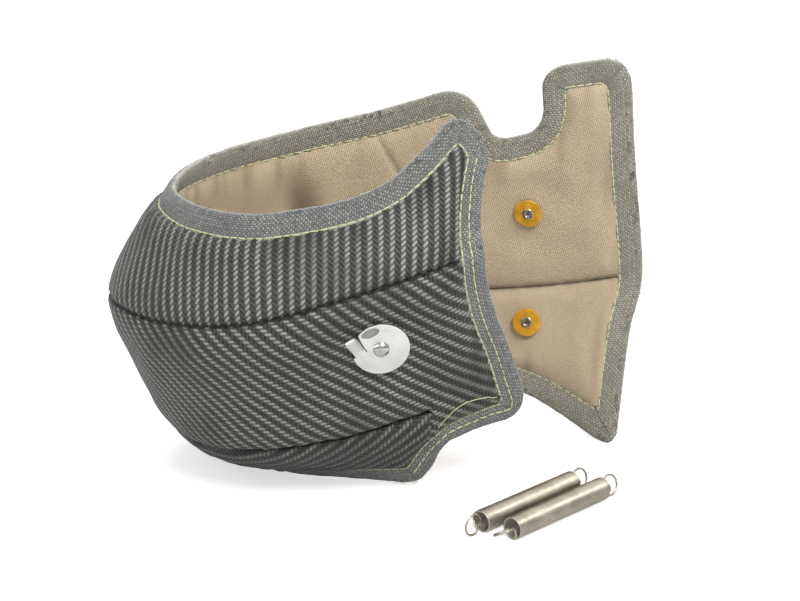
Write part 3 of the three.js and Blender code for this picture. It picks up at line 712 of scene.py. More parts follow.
def lining_finish(name, turn):
    made, tree, shader = material(name, Roughness=0.85, Sheen_Weight=0.2, Sheen_Roughness=0.6)
    woven = use(tree, plain, Place=node(tree, "UVMap"), Yarn=LINING_YARN, Turn=turn)
    worn = blotches(tree, 35, 4)
    # The yarns' crowns are painted lighter and the gaps between them darker, as painted highlight and shade.
    share = sums(tree, "MULTIPLY", sums(tree, "MULTIPLY_ADD", woven["Height"], 0.6, 0.25),
                 sums(tree, "MULTIPLY_ADD", worn, 0.5, 0.75))
    share = sums(tree, "ADD", share, sums(tree, "MULTIPLY", woven["Float Tone"], 0.15))
    shade = node(tree, "Attribute", attribute_name="shade").node.outputs["Fac"]
    shade = sums(tree, "MULTIPLY", shade, 0.62)
    colour = mixed(tree, shade, mixed(tree, share, LINING_DARK, LINING_LIGHT), LINING_SHADE)
    feed(tree, shader, Base_Color=colour, Normal=raised(tree, woven["Height"], 0.0003, 0.9))
    return made


LINING_DART = np.array([(356.5, 75.0), (374.0, 43.0)])
LINING_HOLLOWS = (
    ((319, 34), (9, 17), 5.0),
    ((337, 36), (8, 16), -2.0),
    ((300, 42), (10, 14), -1.6),
    ((446, 12), (9, 20), 1.6),
)
HOLLOW_SHADE_OFF = (4, -4)


def from_dart(at):
    way = LINING_DART[1] - LINING_DART[0]
    share = np.clip(((at - LINING_DART[0]) @ way) / (way @ way), 0, 1)
    return np.linalg.norm(at - LINING_DART[0] - share[:, None] * way, axis=1)


def hollowed(at):
    """How deep the lining is pressed in at its hollows, in millimetres. Below 0 it stands up."""
    deep = np.zeros(len(at))
    for (s, across), (width, height), depth in LINING_HOLLOWS:
        deep += depth * hump((at[:, 0] - s) / width) * hump((at[:, 1] - across) / height)
    return deep


def lining_shade(at, edge):
    """Painted shade on the lining: in the seams, in the open line of the dart, brown in the hollows, and in
    soft patches.
    """
    line = hump(from_dart(at) / 0.9) * (0.75 + 0.5 * wander(at, 2.5, 44.5))
    # The hollows' painted shadow, set a little off to one side of each hollow.
    depth = hollowed(at - HOLLOW_SHADE_OFF) / 5
    hollow_and_patch_shade = depth + 0.26 * wander(at, 22, 61.7) + 0.1 * wander(at, 7, 71.7)
    return np.clip(np.maximum(np.maximum(fold_shade(at, edge), line), hollow_and_patch_shade), 0, 1)


def lining_height(at, edge):
    half = half_loft(at, edge)
    free = freedom(half)
    tuck = creases(at, 0, 0.2, 9, 31.3)
    fold = creases(at, -0.6, 0.35, 20, 15.9)
    swing = 1.1 * wander(at, 30, 13.1) + 0.9 * fold + 0.25 * wander(at, 10, 17.7) - hollowed(at)
    dart = 1.3 * hump(from_dart(at) / 1.6)
    return -(half + CLOTH_OFF + free * (swing - dart) + 0.5 * tuck * held_by_tape(edge) * free)


for k, panel in enumerate(PANELS):
    finish = lining_finish(f"lining_weave_{panel}", math.radians(LINING_TURN))
    piece, size, area = cloth_layer(f"lining_cloth_{panel}", k, lining_height, finish, lining_shade)
    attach(piece, "root")
    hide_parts(f"lining_{panel}")


# Edge binding, a grey woven glass tape folded over the raw edges all round and sewn through, in four
# runs that are cut and tucked where they meet at the corners.
TAPE_SECTION = [
    (10.3, 1.6), (10.2, 2.15), (9.6, 2.2), (9.0, 1.95), (8.3, 2.1), (7.0, 2.25), (5.4, 2.3),
    (3.8, 2.25), (2.2, 2.1), (1.0, 1.9), (0.2, 1.55), (-0.4, 1.0), (-0.7, 0.4),
]
TAPE_YARN = 0.88 * MM
TAPE_FOLD_AT = 12.6 * MM
TAPE_CORD = 1.9 * MM
TAPE_WALL = 0.45
TAPE_LOWEST = 0.25
TAPE_CORNERS = {"front": (23, 51), "bottom": (48, -101), "rear": (388, -56), "top": (462, 94)}
tape_levels = {round(d, 3): inset(d) for d, _ in TAPE_SECTION}


def tape_finish():
    made, tree, shader = material("tape_weave", Roughness=0.8, Sheen_Weight=0.25, Sheen_Roughness=0.5)
    place = node(tree, "UVMap")
    woven = use(tree, plain, Place=place, Yarn=TAPE_YARN, Turn=0.0)
    worn = blotches(tree, 60, 4)
    # The yarns' crowns are painted light as a highlight, the gaps between them dark as shade.
    crown_highlight = eased(tree, woven["Height"], 0.0, 0.9)
    lit = sums(tree, "MULTIPLY", crown_highlight, sums(tree, "MULTIPLY_ADD", woven["Warp"], 0.55, 0.35))
    lit = sums(tree, "MULTIPLY", lit, sums(tree, "MULTIPLY_ADD", woven["Float Tone"], 0.9, 0.5))
    lit = sums(tree, "MULTIPLY", lit, ranged(tree, worn, 0.3, 0.7, 0.6, 1.3))
    v = node(tree, "SeparateXYZ", place).node.outputs[1]
    band = eased(tree, v, 0.0018, 0.0034, 0.3, 0.0)
    lit = sums(tree, "ADD", lit, band)
    flecks = blotches(tree, 420)
    cords = sums(tree, "COSINE", sums(tree, "MULTIPLY", v, 2 * math.pi / TAPE_CORD))
    lit = sums(tree, "MULTIPLY", lit, sums(tree, "MULTIPLY_ADD", cords, 0.18, 0.92))
    outer = mixed(tree, lit, (0.062, 0.065, 0.066), (0.35, 0.36, 0.33))
    inner = mixed(tree, lit, (0.17, 0.163, 0.128), (0.50, 0.48, 0.385))
    turned_in = eased(tree, v, 0.0112, 0.0135)
    colour = mixed(tree, turned_in, outer, inner)
    from_fold = sums(tree, "ABSOLUTE", sums(tree, "SUBTRACT", v, TAPE_FOLD_AT))
    near_edge = eased(tree, from_fold, 0.0026, 0.0058, 1.0, 0.0)
    fleck = sums(tree, "MULTIPLY", ranged(tree, flecks, 0.5, 0.62), near_edge)
    fleck = sums(tree, "MULTIPLY", fleck, ranged(tree, worn, 0.42, 0.6, 0.15, 1.0))
    colour = mixed(tree, sums(tree, "MULTIPLY", fleck, 0.75), colour, (0.022, 0.022, 0.024))
    # The rim along the fold is painted pale: partly a highlight on the rounded fold, partly fuzz of loose
    # fibre.
    rim_reach = sums(tree, "ADD", from_fold, sums(tree, "MULTIPLY", worn, 0.0024))
    pale_rim = eased(tree, rim_reach, 0.0008, 0.0026, 0.75, 0.0)
    colour = mixed(tree, pale_rim, colour, (0.56, 0.555, 0.50))
    feed(tree, shader, Base_Color=colour, Normal=raised(tree, woven["Height"], 0.0004, 0.8))
    return made


def outline_index(at):
    return int(np.hypot(*(outline - at).T).argmin())


tape_material = tape_finish()
corner_index = {name: outline_index(at) for name, at in TAPE_CORNERS.items()}


def laid_at(at, off):
    point, normal = surface(at[..., 0], at[..., 1])
    laid = point + normal * np.asarray(off)[..., None]
    laid[..., 2] = np.maximum(laid[..., 2], TAPE_LOWEST)
    return laid


names = list(TAPE_CORNERS)
for k, name in enumerate(names):
    first, last = corner_index[name], corner_index[names[(k + 1) % 4]]
    count = (last - first) % len(outline)
    index = (first + np.arange(count + 1)) % len(outline)
    ring, uv = [], []
    section = TAPE_SECTION + [(d, -h) for d, h in reversed(TAPE_SECTION)]
    across = np.concatenate([[0], np.cumsum([math.dist(a, b) for a, b in zip(section, section[1:])])])
    fold = laid_at(tape_levels[2.2][index], np.full(count + 1, 0.0))
    along = np.concatenate([[0], np.cumsum(np.linalg.norm(np.diff(fold, axis=0), axis=1))])
    for (d, h), v in zip(section, across):
        ripple = 0.3 * wander(np.stack([along, 0 * along + (h < 0) * 9], -1), 7, 50 + k)
        puff = 0.22 * wander(np.stack([along, 0 * along + v], -1), 5, 60 + k) * np.sign(h) * (d < 9)
        line = tape_levels[round(d, 3)][index] + inwards[index] * (ripple * (d < 8))[:, None]
        ring.append(laid_at(line, h + puff))
        uv.append(np.stack([along, np.full(count + 1, v)], -1) * MM)
    points = np.stack(ring, 1).reshape(-1, 3)
    uv = np.stack(uv, 1).reshape(-1, 2)
    n = len(section)
    faces = [
        (a * n + b, (a + 1) * n + b, (a + 1) * n + b + 1, a * n + b + 1)
        for a in range(count) for b in range(n - 1)
    ]
    piece = new_object(f"binding_tape_{name}", points, faces, uv)
    piece.data.materials.append(tape_material)
    thicken(piece, TAPE_WALL)
    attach(piece, "root")
    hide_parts(f"binding_{name}")


# Thread. A pale yellow-green glass lockstitch runs through the tape near its inner edge, doubled at
# the front end and the front foot, and dark thread closes the cover's seams.
STITCH_PITCH = 3.6
STITCH_LENGTH = 3.1


def one_stitch():
    """A stitch along X, one unit long to each side and one unit thick, its ends drawn in."""
    deselect()
    bpy.ops.mesh.primitive_cylinder_add(vertices=6, radius=1, depth=1.2, rotation=(0, math.pi / 2, 0))
    made = bpy.context.object
    bpy.ops.object.transform_apply()
    bpy.ops.object.mode_set(mode="EDIT")
    for way in (-1, 1):
        bpy.ops.mesh.select_all(action="DESELECT")
        edit = bmesh.from_edit_mesh(made.data)
        for face in edit.faces:
            if face.normal.x * way > 0.9:
                face.select_set(True)
        bmesh.update_edit_mesh(made.data)
        bpy.ops.mesh.extrude_region_move(TRANSFORM_OT_translate={"value": (0.4 * way, 0, 0)})
        bpy.ops.transform.resize(value=(1, 0.45, 0.45))
    bpy.ops.object.mode_set(mode="OBJECT")
    points = np.array([tuple(v.co) for v in made.data.vertices])
    faces = [tuple(f.vertices) for f in made.data.polygons]
    bpy.data.objects.remove(made)
    return points, faces


stitch_points, stitch_faces = one_stitch()
chance = np.random.default_rng(7)


def stitches(name, rows, finish, radius=0.33, sink=0.3):
    """Stitches along rows of (places in millimetres, outward normals, pitch, length)."""
    points, faces, tones = [], [], []
    for places, facing, pitch, length in rows:
        run = np.concatenate([[0], np.cumsum(np.linalg.norm(np.diff(places, axis=0), axis=1))])
        for middle in np.arange(pitch / 2, run[-1], pitch):
            reach = length * (0.5 + 0.06 * chance.standard_normal())
            ends = [
                np.array([np.interp(middle + side * reach, run, places[:, k]) for k in range(3)])
                for side in (-1, 1)
            ]
            normal = unit(np.array([np.interp(middle, run, facing[:, k]) for k in range(3)]))
            along = unit(ends[1] - ends[0])
            aside = unit(np.cross(normal, along))
            along = unit(along + aside * 0.05 * chance.standard_normal())
            aside = np.cross(normal, along)
            centre = (ends[0] + ends[1]) / 2 + aside * 0.06 * chance.standard_normal()
            x, y, z = stitch_points.T
            rise = z * radius - sink * x**2
            laid = centre + np.outer(x * reach, along) + np.outer(y * radius, aside) + np.outer(rise, normal)
            first = len(points)
            points.extend(laid)
            faces.extend(tuple(first + i for i in face) for face in stitch_faces)
            tones.extend([(middle * MM, chance.random())] * len(laid))
    piece = new_object(name, points, faces, tones)
    piece.data.materials.append(finish)
    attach(piece, "root")


def thread_finish(name, pale, deep):
    made, tree, shader = material(name, Roughness=0.6, Sheen_Weight=0.2)
    tone = node(tree, "SeparateXYZ", node(tree, "UVMap")).node.outputs[1]
    hairs = blotches(tree, 2500)
    share = sums(tree, "ADD", sums(tree, "MULTIPLY", tone, 0.5), sums(tree, "MULTIPLY", hairs, 0.5))
    feed(tree, shader, Base_Color=mixed(tree, share, deep, pale), Normal=raised(tree, hairs, 0.0002, 0.6))
    return made


def tape_row(distance, off, start=0, stop=None):
    line = inset(distance)
    index = np.arange(start, len(outline) if stop is None else stop) % len(outline)
    if stop is None:
        index = np.append(index, 0)
    at = line[index]
    normal = surface(at[:, 0], at[:, 1])[1] * np.sign(off)
    return laid_at(at, np.full(len(at), off)), normal, STITCH_PITCH, STITCH_LENGTH


pale_thread = thread_finish("stitch_thread", (0.64, 0.64, 0.36), (0.42, 0.43, 0.22))
end_of_front = outline_index((45, -103))
rows = [tape_row(8.9, 2.2), tape_row(8.9, -2.2), tape_row(5.2, 2.45, 0, end_of_front)]
stitches("tape_stitches", rows, pale_thread)


def strand(middles, aside, over, radius, sides):
    """A thin round strand's points, in rings round its middle line, and the faces between them."""
    ray = 2 * np.pi * np.arange(sides) / sides
    round_it = aside[:, None] * np.cos(ray)[:, None] + over[:, None] * np.sin(ray)[:, None]
    points = (middles[:, None] + round_it * radius).reshape(-1, 3)
    faces = []
    for k in range(len(middles) - 1):
        for turn in range(sides):
            a, b = k * sides + turn, k * sides + (turn + 1) % sides
            faces.append((a, b, b + sides, a + sides))
    return points, faces


# A loose end of the tape's thread, which was left uncut and stands off the cover above the lower
# front edge. Its places are on the pattern, with how far it stands off.
LOOSE_END = np.array([
    (40, -71.5, 0.2), (36.5, -68, 0.3), (32.5, -65, 0.6), (28.5, -63.5, 1.2), (25.5, -63.3, 1.6),
    (22, -64, 1.6), (18.5, -65.5, 1.2), (15, -68, 0.6), (12.5, -69.5, 0.2),
])
LOOSE_POINTS = 80
LOOSE_RADIUS = 0.2
LOOSE_SIDES = 5
TAPE_TOP = 2.5
path, _ = through(LOOSE_END, np.linspace(0, 1, LOOSE_POINTS), True)
edge, _ = nearest(path[:, :2])
below = np.maximum(cover_height(path[:, :2], edge), np.where(edge < TAPE_REACH + 0.2, TAPE_TOP, 0))
point, normal = surface(path[:, 0], path[:, 1])
loose = point + normal * (below + path[:, 2])[:, None]
ahead = unit(np.concatenate([loose[1:], loose[-1:]]) - np.concatenate([loose[:1], loose[:-1]]))
aside = unit(np.cross(ahead, (0.3, 0.2, 0.93)))
points, faces = strand(loose, aside, np.cross(ahead, aside), LOOSE_RADIUS, LOOSE_SIDES)
tones = [(k * MM, 0.4) for k in range(LOOSE_POINTS) for _ in range(LOOSE_SIDES)]
piece = new_object("loose_thread", points, faces, tones)
piece.data.materials.append(pale_thread)
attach(piece, "root")

# Dark thread of the two seams, a plain lockstitch that closes the cover's panels onto each other and
# sinks into the cloth.
SEAM_PITCH = 3.3
SEAM_STITCH = 2.2
SEAM_STEP = 1.5
dark_thread = thread_finish("seam_thread", (0.05, 0.05, 0.047), (0.015, 0.015, 0.014))
seam_rows = []
for s, across in (
    (np.arange(34, 462, SEAM_STEP), 0 * np.arange(34, 462, SEAM_STEP)),
    (np.arange(50, 388, SEAM_STEP), lower_seam(np.arange(50, 388, SEAM_STEP))),
):
    at = np.stack([s, across], -1)
    point, normal = surface(s, across)
    height = cover_height(at, nearest(at)[0])
    seam_rows.append((point + normal * height[:, None], normal, SEAM_PITCH, SEAM_STITCH))
stitches("seam_stitches", seam_rows, dark_thread, radius=0.3, sink=0.4)


# Loose fibres of the glass cloth and of the tape, which stand out of the cut edges along the fold and
# most of all where the tape's runs are tucked in at the corners.
FRAY_RADIUS = 0.075
FRAY_SIDES = 3
FRAY_SHARES = np.array([0, 0.33, 0.66, 1])
FRAY_LOWEST = 0.2
AT_CORNERS = 0.45


def frays(name, count, finish, size, spread):
    points, faces, tones = [], [], []
    fold_line = inset(TAPE_SECTION[-1][0])
    for _ in range(count):
        k = int(chance.integers(len(outline)))
        if chance.random() < AT_CORNERS:
            k = int(corner_index[names[chance.integers(4)]] + chance.normal(0, 4)) % len(outline)
        at = fold_line[k] + inwards[k] * abs(chance.normal(0, 0.6))
        off = chance.uniform(-1.2, 1.2)
        point, normal = surface(at[0], at[1])
        ahead = surface(*(at + tangent[k]))[0] - point
        out = surface(*(at - inwards[k]))[0] - point
        way = unit(ahead) * chance.normal(0, 1) + unit(out) * 0.5 * spread
        way = unit(way + normal * chance.normal(0, 0.3))
        aside = unit(np.cross(way, normal))
        over = np.cross(way, aside)
        length = size * chance.uniform(0.5, 1.3)
        bend = chance.normal(0, 0.25)
        share = FRAY_SHARES[:, None]
        middles = point + normal * off + way * length * share + aside * bend * length * share**2
        middles[:, 2] = np.maximum(middles[:, 2], FRAY_LOWEST)
        rings, skin = strand(middles, aside + 0 * middles, over + 0 * middles, FRAY_RADIUS, FRAY_SIDES)
        skin += [(2, 1, 0), (9, 10, 11)]
        faces.extend(tuple(len(points) + i for i in face) for face in skin)
        points.extend(rings)
        tones.extend((part * MM, chance.random()) for part in FRAY_SHARES for _ in range(FRAY_SIDES))
    piece = new_object(name, points, faces, tones)
    piece.data.materials.append(finish)
    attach(piece, "root")


fray_fibre = thread_finish("fray_fibre", (0.62, 0.61, 0.55), (0.40, 0.39, 0.35))
frays("dark_frays", 260, dark_thread, 2.0, 0.6)
frays("pale_frays", 420, fray_fibre, 1.9, 0.9)


# Hook washers, pressed from stainless sheet: a disc with a strip cut loose and bent up as a hook, and
# an eye beside it, held to the wrap by a hollow rivet with a domed head outside.
HOOK_THICKNESS = 0.9
EYE_AT = (-2.2, HOOK_RADIUS - 2.9)
EYE_RADII = (3.6, 1.9)
EYE_TURN = 8
TONGUE_WIDTH = 4.6
TONGUE_LENGTH = 9.4
TONGUE_LIFT = 24
TONGUE_LEAN = 14
TONGUE_FROM_RIM = 3.1
TONGUE_GAP = 0.4
TONGUE_BENDS = 5
TONGUE_BEND_STEP = 0.5
CUT_SIZE = 12
BACKING_THICKNESS = 0.35
RIVET_HEAD_RADIUS = 3.2
RIVET_HEAD_RIM = 0.35
SHANK_RADIUS = 1.6
ROLL_RADIUS = 2.3
ROLL_HEIGHT = 0.9
WASHER_RADIUS = 6
WASHER_THICKNESS = 0.8


def select_faces(piece, wanted):
    bpy.ops.mesh.select_all(action="DESELECT")
    edit = bmesh.from_edit_mesh(piece.data)
    edit.normal_update()
    for face in edit.faces:
        if wanted(face.calc_center_median(), face.normal):
            face.select_set(True)
    bmesh.update_edit_mesh(piece.data)


def cylinder(radius, depth, at, vertices=48):
    deselect()
    bpy.ops.mesh.primitive_cylinder_add(
        vertices=vertices, radius=radius * MM, depth=depth * MM, location=tuple(v * MM for v in at)
    )
    return bpy.context.object


def combined(piece, tool, operation):
    active(piece)
    step = piece.modifiers.new("combine", "BOOLEAN")
    step.operation = operation
    step.object = tool
    step.solver = "EXACT"
    bpy.ops.object.modifier_apply(modifier=step.name)
    bpy.data.objects.remove(tool)


def bevelled(piece, width, segments=2, angle=35):
    active(piece)
    bpy.ops.object.transform_apply()
    edge = piece.modifiers.new("edge", "BEVEL")
    edge.width = width * MM
    edge.segments = segments
    edge.limit_method = "ANGLE"
    edge.angle_limit = math.radians(angle)
    bpy.ops.object.modifier_apply(modifier=edge.name)
    bpy.ops.object.shade_smooth_by_angle(angle=math.radians(40))


def hook_washer():
    disc = cylinder(HOOK_RADIUS, HOOK_THICKNESS, (0, 0, HOOK_THICKNESS / 2), 96)
    eye = cylinder(1, 3, (*EYE_AT, 0))
    eye.scale = (*EYE_RADII, 1)
    eye.rotation_euler.z = math.radians(EYE_TURN)
    combined(disc, eye, "DIFFERENCE")
    root = TONGUE_FROM_RIM - HOOK_RADIUS
    clear = root + TONGUE_WIDTH / 2 + TONGUE_GAP
    slant = math.radians(TONGUE_LEAN)
    half, cos, sin = CUT_SIZE / 2, math.cos(slant), math.sin(slant)
    middle = (clear - half * cos - half * sin, 0.7 - half * sin + half * cos)
    deselect()
    bpy.ops.mesh.primitive_cube_add(
        size=CUT_SIZE * MM, location=(middle[0] * MM, middle[1] * MM, 0), rotation=(0, 0, slant)
    )
    combined(disc, bpy.context.object, "DIFFERENCE")
    deselect()
    bpy.ops.mesh.primitive_cube_add(
        size=MM, location=(0, -0.6 * MM, HOOK_THICKNESS / 2 * MM),
        scale=(TONGUE_WIDTH, 1.2, HOOK_THICKNESS * 0.98),
    )
    strip = bpy.context.object
    bpy.ops.object.transform_apply()
    bpy.ops.object.mode_set(mode="EDIT")
    select_faces(strip, lambda middle, normal: normal.y > 0.9)
    for k in range(TONGUE_BENDS):
        angle = math.radians(TONGUE_LIFT * (k + 0.5) / TONGUE_BENDS)
        reach = TONGUE_BEND_STEP * MM
        step = (0, reach * math.cos(angle), reach * math.sin(angle))
        bpy.ops.mesh.extrude_region_move(TRANSFORM_OT_translate={"value": step})
        edit = bmesh.from_edit_mesh(strip.data)
        middle = [f.calc_center_median() for f in edit.faces if f.select][0]
        bpy.ops.transform.rotate(
            value=math.radians(-TONGUE_LIFT / TONGUE_BENDS), orient_axis="X", center_override=tuple(middle)
        )
    angle = math.radians(TONGUE_LIFT)
    straight = TONGUE_LENGTH - 1.5
    for share in (0.8, 0.2):
        step = (0, straight * share * MM * math.cos(angle), straight * share * MM * math.sin(angle))
        bpy.ops.mesh.extrude_region_move(TRANSFORM_OT_translate={"value": step})
    bpy.ops.transform.resize(value=(0.82, 1, 1))
    bpy.ops.object.mode_set(mode="OBJECT")
    strip.rotation_euler.z = slant
    strip.location = (root * MM, 0.2 * MM, 0)
    active(strip)
    bpy.ops.object.transform_apply()
    combined(disc, strip, "UNION")
    bevelled(disc, 0.16)
    disc.data.materials.append(steel)
    backing = cylinder(HOOK_RADIUS - 1, BACKING_THICKNESS, (0, 0, -0.2), 64)
    bevelled(backing, 0.1)
    backing.data.materials.append(backing_steel)
    active(disc)
    backing.select_set(True)
    bpy.ops.object.join()
    return disc


def rivet(seat, tail):
    """Domed head on the disc, shank through the quilt, rolled hollow end on the inner washer."""
    head_at = seat + HOOK_THICKNESS
    deselect()
    bpy.ops.mesh.primitive_uv_sphere_add(segments=40, ring_count=24, radius=RIVET_HEAD_RADIUS * MM)
    head = bpy.context.object
    bpy.ops.object.mode_set(mode="EDIT")
    bpy.ops.transform.resize(value=(1, 1, 0.6))
    bpy.ops.mesh.select_all(action="SELECT")
    bpy.ops.mesh.bisect(plane_co=(0, 0, 0), plane_no=(0, 0, 1), clear_inner=True, use_fill=True)
    select_faces(head, lambda middle, normal: normal.z < -0.9)
    bpy.ops.mesh.extrude_region_move(TRANSFORM_OT_translate={"value": (0, 0, -RIVET_HEAD_RIM * MM)})
    bpy.ops.object.mode_set(mode="OBJECT")
    head.location.z = (head_at + RIVET_HEAD_RIM) * MM
    shank = cylinder(SHANK_RADIUS, head_at - tail, (0, 0, (head_at + tail) / 2), 32)
    roll = cylinder(ROLL_RADIUS, ROLL_HEIGHT, (0, 0, tail - 0.15), 40)
    bpy.ops.object.transform_apply()
    bpy.ops.object.mode_set(mode="EDIT")
    select_faces(roll, lambda middle, normal: normal.z < -0.9)
    bpy.ops.mesh.inset(thickness=1.2 * MM)
    bpy.ops.mesh.extrude_region_move(TRANSFORM_OT_translate={"value": (0, 0, 0.7 * MM)})
    bpy.ops.object.mode_set(mode="OBJECT")
    bevelled(roll, 0.3, 3)
    active(head)
    shank.select_set(True)
    roll.select_set(True)
    bpy.ops.object.join()
    bevelled(head, 0.12)
    return head


def inner_washer(outer):
    washer = cylinder(WASHER_RADIUS, WASHER_THICKNESS, (0, 0, outer + WASHER_THICKNESS / 2), 64)
    bpy.ops.object.transform_apply()
    bpy.ops.object.mode_set(mode="EDIT")
    select_faces(washer, lambda middle, normal: normal.z < -0.9)
    bpy.ops.mesh.inset(thickness=3.2 * MM)
    bpy.ops.transform.translate(value=(0, 0, 0.12 * MM))
    bpy.ops.object.mode_set(mode="OBJECT")
    bevelled(washer, 0.2, 3, 30)
    return washer


def metal_finish(name, bright, dull, smoothest, roughest, grain, **shader_values):
    made, tree, shader = material(name, **shader_values)
    clouds = blotches(tree, grain, 5)
    fine = blotches(tree, 1800)
    share = ranged(tree, clouds, 0.35, 0.65)
    rough = ranged(tree, clouds, 0.3, 0.7, smoothest, roughest)
    feed(tree, shader, Base_Color=mixed(tree, share, dull, bright), Roughness=rough,
         Normal=raised(tree, fine, 0.00002, 0.4))
    return made


steel = metal_finish("hook_stainless", (0.86, 0.86, 0.84), (0.76, 0.76, 0.74), 0.14, 0.3, 260, Metallic=1.0)
rivet_steel = metal_finish(
    "rivet_steel", (0.60, 0.60, 0.585), (0.40, 0.40, 0.39), 0.1, 0.2, 500, Metallic=1.0
)
backing_steel = metal_finish(
    "backing_steel", (0.42, 0.42, 0.40), (0.30, 0.30, 0.29), 0.35, 0.5, 200, Metallic=0.6
)
amber = metal_finish(
    "washer_yellow_zinc", (0.80, 0.42, 0.04), (0.62, 0.31, 0.025), 0.3, 0.45, 300, Metallic=0.4
)
for name, place in HOOKS.items():
    point, normal = surface(*place)
    seam_t = np.interp(place[0], fine_length, fine_t)
    along = unit(through(STATIONS[:, :3], seam_t, True)[1])
    right = unit(-along + normal * along.dot(normal))
    turn = Matrix(np.stack([right, np.cross(normal, right), normal], -1).tolist()).to_4x4()
    turn.translation = Vector(point * MM)

    def height_of(node_name):
        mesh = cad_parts[node_name].data
        places = np.array([tuple(v.co) for v in mesh.vertices]) / MM
        return (places - point) @ normal

    seat = height_of(f"hook_disc_{name}").min()
    tail = height_of(f"inner_washer_{name}").min()
    parts = (
        (hook_washer(), f"hook_washer_{name}", f"hook_disc_{name}", "hook_steel", steel, seat),
        (rivet(seat, tail), f"hook_rivet_{name}", f"rivet_{name}", "hook_steel", rivet_steel, 0),
        (inner_washer(tail), f"amber_washer_{name}", f"inner_washer_{name}", "inner_washer", amber, 0),
    )
    for piece, label, stands_for, slot, finish, off in parts:
        piece.name = label
        piece.data.transform(turn @ Matrix.Translation((0, 0, off * MM)))
        if not piece.data.materials:
            piece.data.materials.append(finish)
        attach(piece, "root")
        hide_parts(stands_for)


# Extension springs, close-wound from round spring wire. The last turn at each end is bent out into a
# loop that hooks over the washers' tongues. They lie off, beside the wrap.
SPRING_TURN = 4.3
SPRING_WIRE = 0.9
SPRING_LENGTH = 54
LOOP_REACH = 3.6
LOOP_START = 232
LOOP_SWEEP = 290
SPRING_HEADING = 44
WIRE_STEP = 1.25
SPRINGS = {"front": ((42.4, -82), (-30, 75)), "rear": ((30.8, -76), (90, 75))}


def spring_line(tilts):
    """The wire's middle line, along X: loop, turns, loop."""
    turns = round((SPRING_LENGTH - SPRING_WIRE) / (SPRING_WIRE * 1.02))
    first, last = (math.radians(tilt) + math.pi for tilt in tilts)
    sweep = 2 * math.pi * turns + (last - first) % (2 * math.pi)
    steps = int(turns * 18)
    w = np.linspace(0, 1, steps + 1)
    angle = first + sweep * w
    x = SPRING_WIRE / 2 + (SPRING_LENGTH - SPRING_WIRE) * w
    body = np.stack([x, SPRING_TURN * np.cos(angle), SPRING_TURN * np.sin(angle)], -1)

    def loop(tilt, mouth, way):
        tilt = math.radians(tilt)
        ray = np.radians(np.linspace(LOOP_START, LOOP_START + LOOP_SWEEP, 30))
        along = LOOP_REACH + SPRING_TURN * np.cos(ray)
        aside = SPRING_TURN * np.sin(ray)
        return np.stack([mouth + way * along, aside * math.cos(tilt), aside * math.sin(tilt)], -1)

    start = loop(tilts[0], 0, -1)[::-1]
    end = loop(tilts[1], SPRING_LENGTH, 1)
    return np.concatenate([start, body[4:-4], end])


spring_steel = metal_finish(
    "spring_wire", (0.53, 0.495, 0.41), (0.42, 0.385, 0.31), 0.28, 0.45, 150, Metallic=1.0
)
for name, (at, tilts) in SPRINGS.items():
    line = evenly(spring_line(tilts), WIRE_STEP, False)
    for _ in range(2):
        line[1:-1] = (line[:-2] + 2 * line[1:-1] + line[2:]) / 4 * 0.5 + line[1:-1] * 0.5
    heading = math.radians(SPRING_HEADING)
    turn = np.array([[math.cos(heading), -math.sin(heading)], [math.sin(heading), math.cos(heading)]])
    line[:, :2] = line[:, :2] @ turn.T + np.array(at) + SHIFT[:2]
    line[:, 2] += SPRING_TURN + SPRING_WIRE / 2
    curve = bpy.data.curves.new(f"spring_line_{name}", "CURVE")
    curve.dimensions = "3D"
    curve.bevel_depth = SPRING_WIRE / 2 * MM
    curve.bevel_resolution = 1
    curve.use_fill_caps = True
    spline = curve.splines.new("POLY")
    spline.points.add(len(line) - 1)
    spline.points.foreach_set("co", np.c_[line * MM, np.ones(len(line))].ravel())
    piece = bpy.data.objects.new(f"spring_wire_{name}", curve)
    bpy.context.collection.objects.link(piece)
    active(piece)
    bpy.ops.object.convert(target="MESH")
    piece = bpy.context.object
    bpy.ops.object.shade_smooth()
    piece.data.materials.append(spring_steel)
    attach(piece, "root")
    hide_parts(f"spring_{name}")


# Floor, lights and camera of the photograph: a white table, soft daylight from above, seen from the
# front and slightly from above.
def lamp(name, at, size, power):
    data = bpy.data.lights.new(name, "AREA")
    data.shape = "DISK"
    data.size = size
    data.energy = power
    made = bpy.data.objects.new(name, data)
    made.location = at
    made.rotation_euler = (Vector((0, 0, 0.06)) - Vector(at)).to_track_quat("-Z", "Y").to_euler()
    bpy.context.collection.objects.link(made)


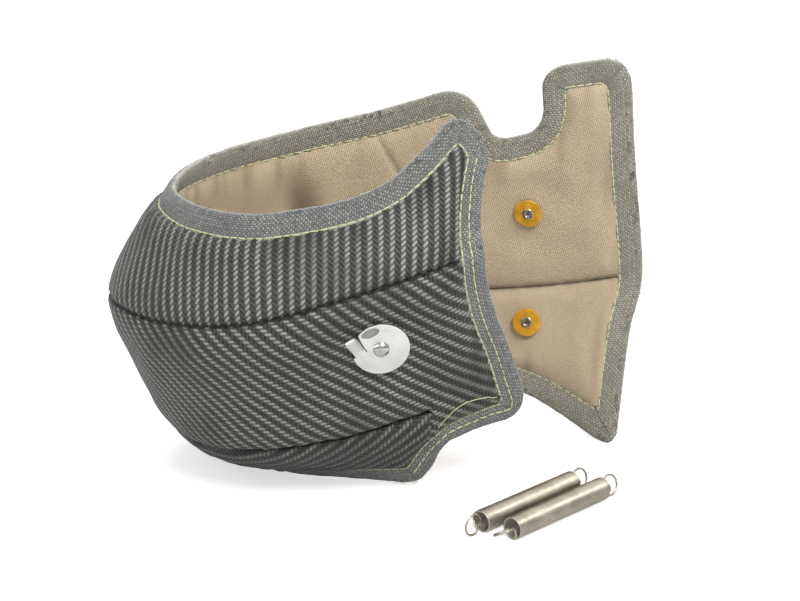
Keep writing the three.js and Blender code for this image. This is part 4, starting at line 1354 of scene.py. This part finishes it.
lamp("key_light", (0.45, -0.75, 1.1), 0.6, 17)
lamp("fill_light", (-0.9, -0.6, 0.8), 0.9, 3.2)
lamp("back_light", (-0.1, 0.9, 0.9), 0.8, 8)
world = bpy.data.worlds.new("studio")
bpy.context.scene.world = world
world.use_nodes = True
sky = world.node_tree
back = sky.nodes["Background"]
rays = node(sky, "LightPath").node.outputs
seen = sums(sky, "MAXIMUM", rays["Is Glossy Ray"], rays["Is Transmission Ray"])
seen = sums(sky, "MAXIMUM", rays["Is Camera Ray"], seen)
way = node(sky, "TexCoord").node.outputs["Generated"]
height = sums(sky, "ABSOLUTE", node(sky, "SeparateXYZ", way).node.outputs[2])
wall = eased(sky, height, 0.05, 0.5, 0.3, 1.0)
mirrored = node(sky, "Mix", rays["Is Glossy Ray"], None, 1.0, wall)
sky.links.new(node(sky, "Mix", seen, None, 0.5, mirrored), back.inputs["Strength"])
back.inputs["Color"].default_value = (1, 1, 1, 1)

FLOOR_REACH = 3000
floor_corners = [(x * FLOOR_REACH, y * FLOOR_REACH, 0) for x, y in ((-1, -1), (1, -1), (1, 1), (-1, 1))]
floor = new_object("floor", floor_corners, [(0, 1, 2, 3)])
floor_material, floor_tree, floor_shader = material(
    "table_white", Roughness=0.6, Base_Color=(0.62, 0.62, 0.62, 1)
)
floor.data.materials.append(floor_material)
floor_shader.inputs["Emission Color"].default_value = (1, 1, 1, 1)
seen_straight = node(floor_tree, "LightPath").node.outputs["Is Camera Ray"]
feed(floor_tree, floor_shader, Emission_Strength=sums(floor_tree, "MULTIPLY", seen_straight, 0.62))

SENSOR_WIDTH = 36
PICTURE_WIDTH_PIXELS = 800
FOCAL_PIXELS = 2205
CAMERA_DISTANCE = 0.9
CAMERA_ELEVATION = 20
LOOK_AT_HEIGHT = 68
camera_data = bpy.data.cameras.new("camera")
camera_data.sensor_width = SENSOR_WIDTH
camera_data.lens = FOCAL_PIXELS / PICTURE_WIDTH_PIXELS * SENSOR_WIDTH
camera = bpy.data.objects.new("camera", camera_data)
target = Vector((SHIFT + np.array([0, 0, LOOK_AT_HEIGHT])) * MM)
tilt = math.radians(CAMERA_ELEVATION)
camera.location = target + CAMERA_DISTANCE * Vector((0, -math.cos(tilt), math.sin(tilt)))
camera.rotation_euler = (math.radians(90) - tilt, 0, 0)
bpy.context.collection.objects.link(camera)
bpy.context.scene.camera = camera
bpy.context.scene.view_settings.view_transform = "Standard"
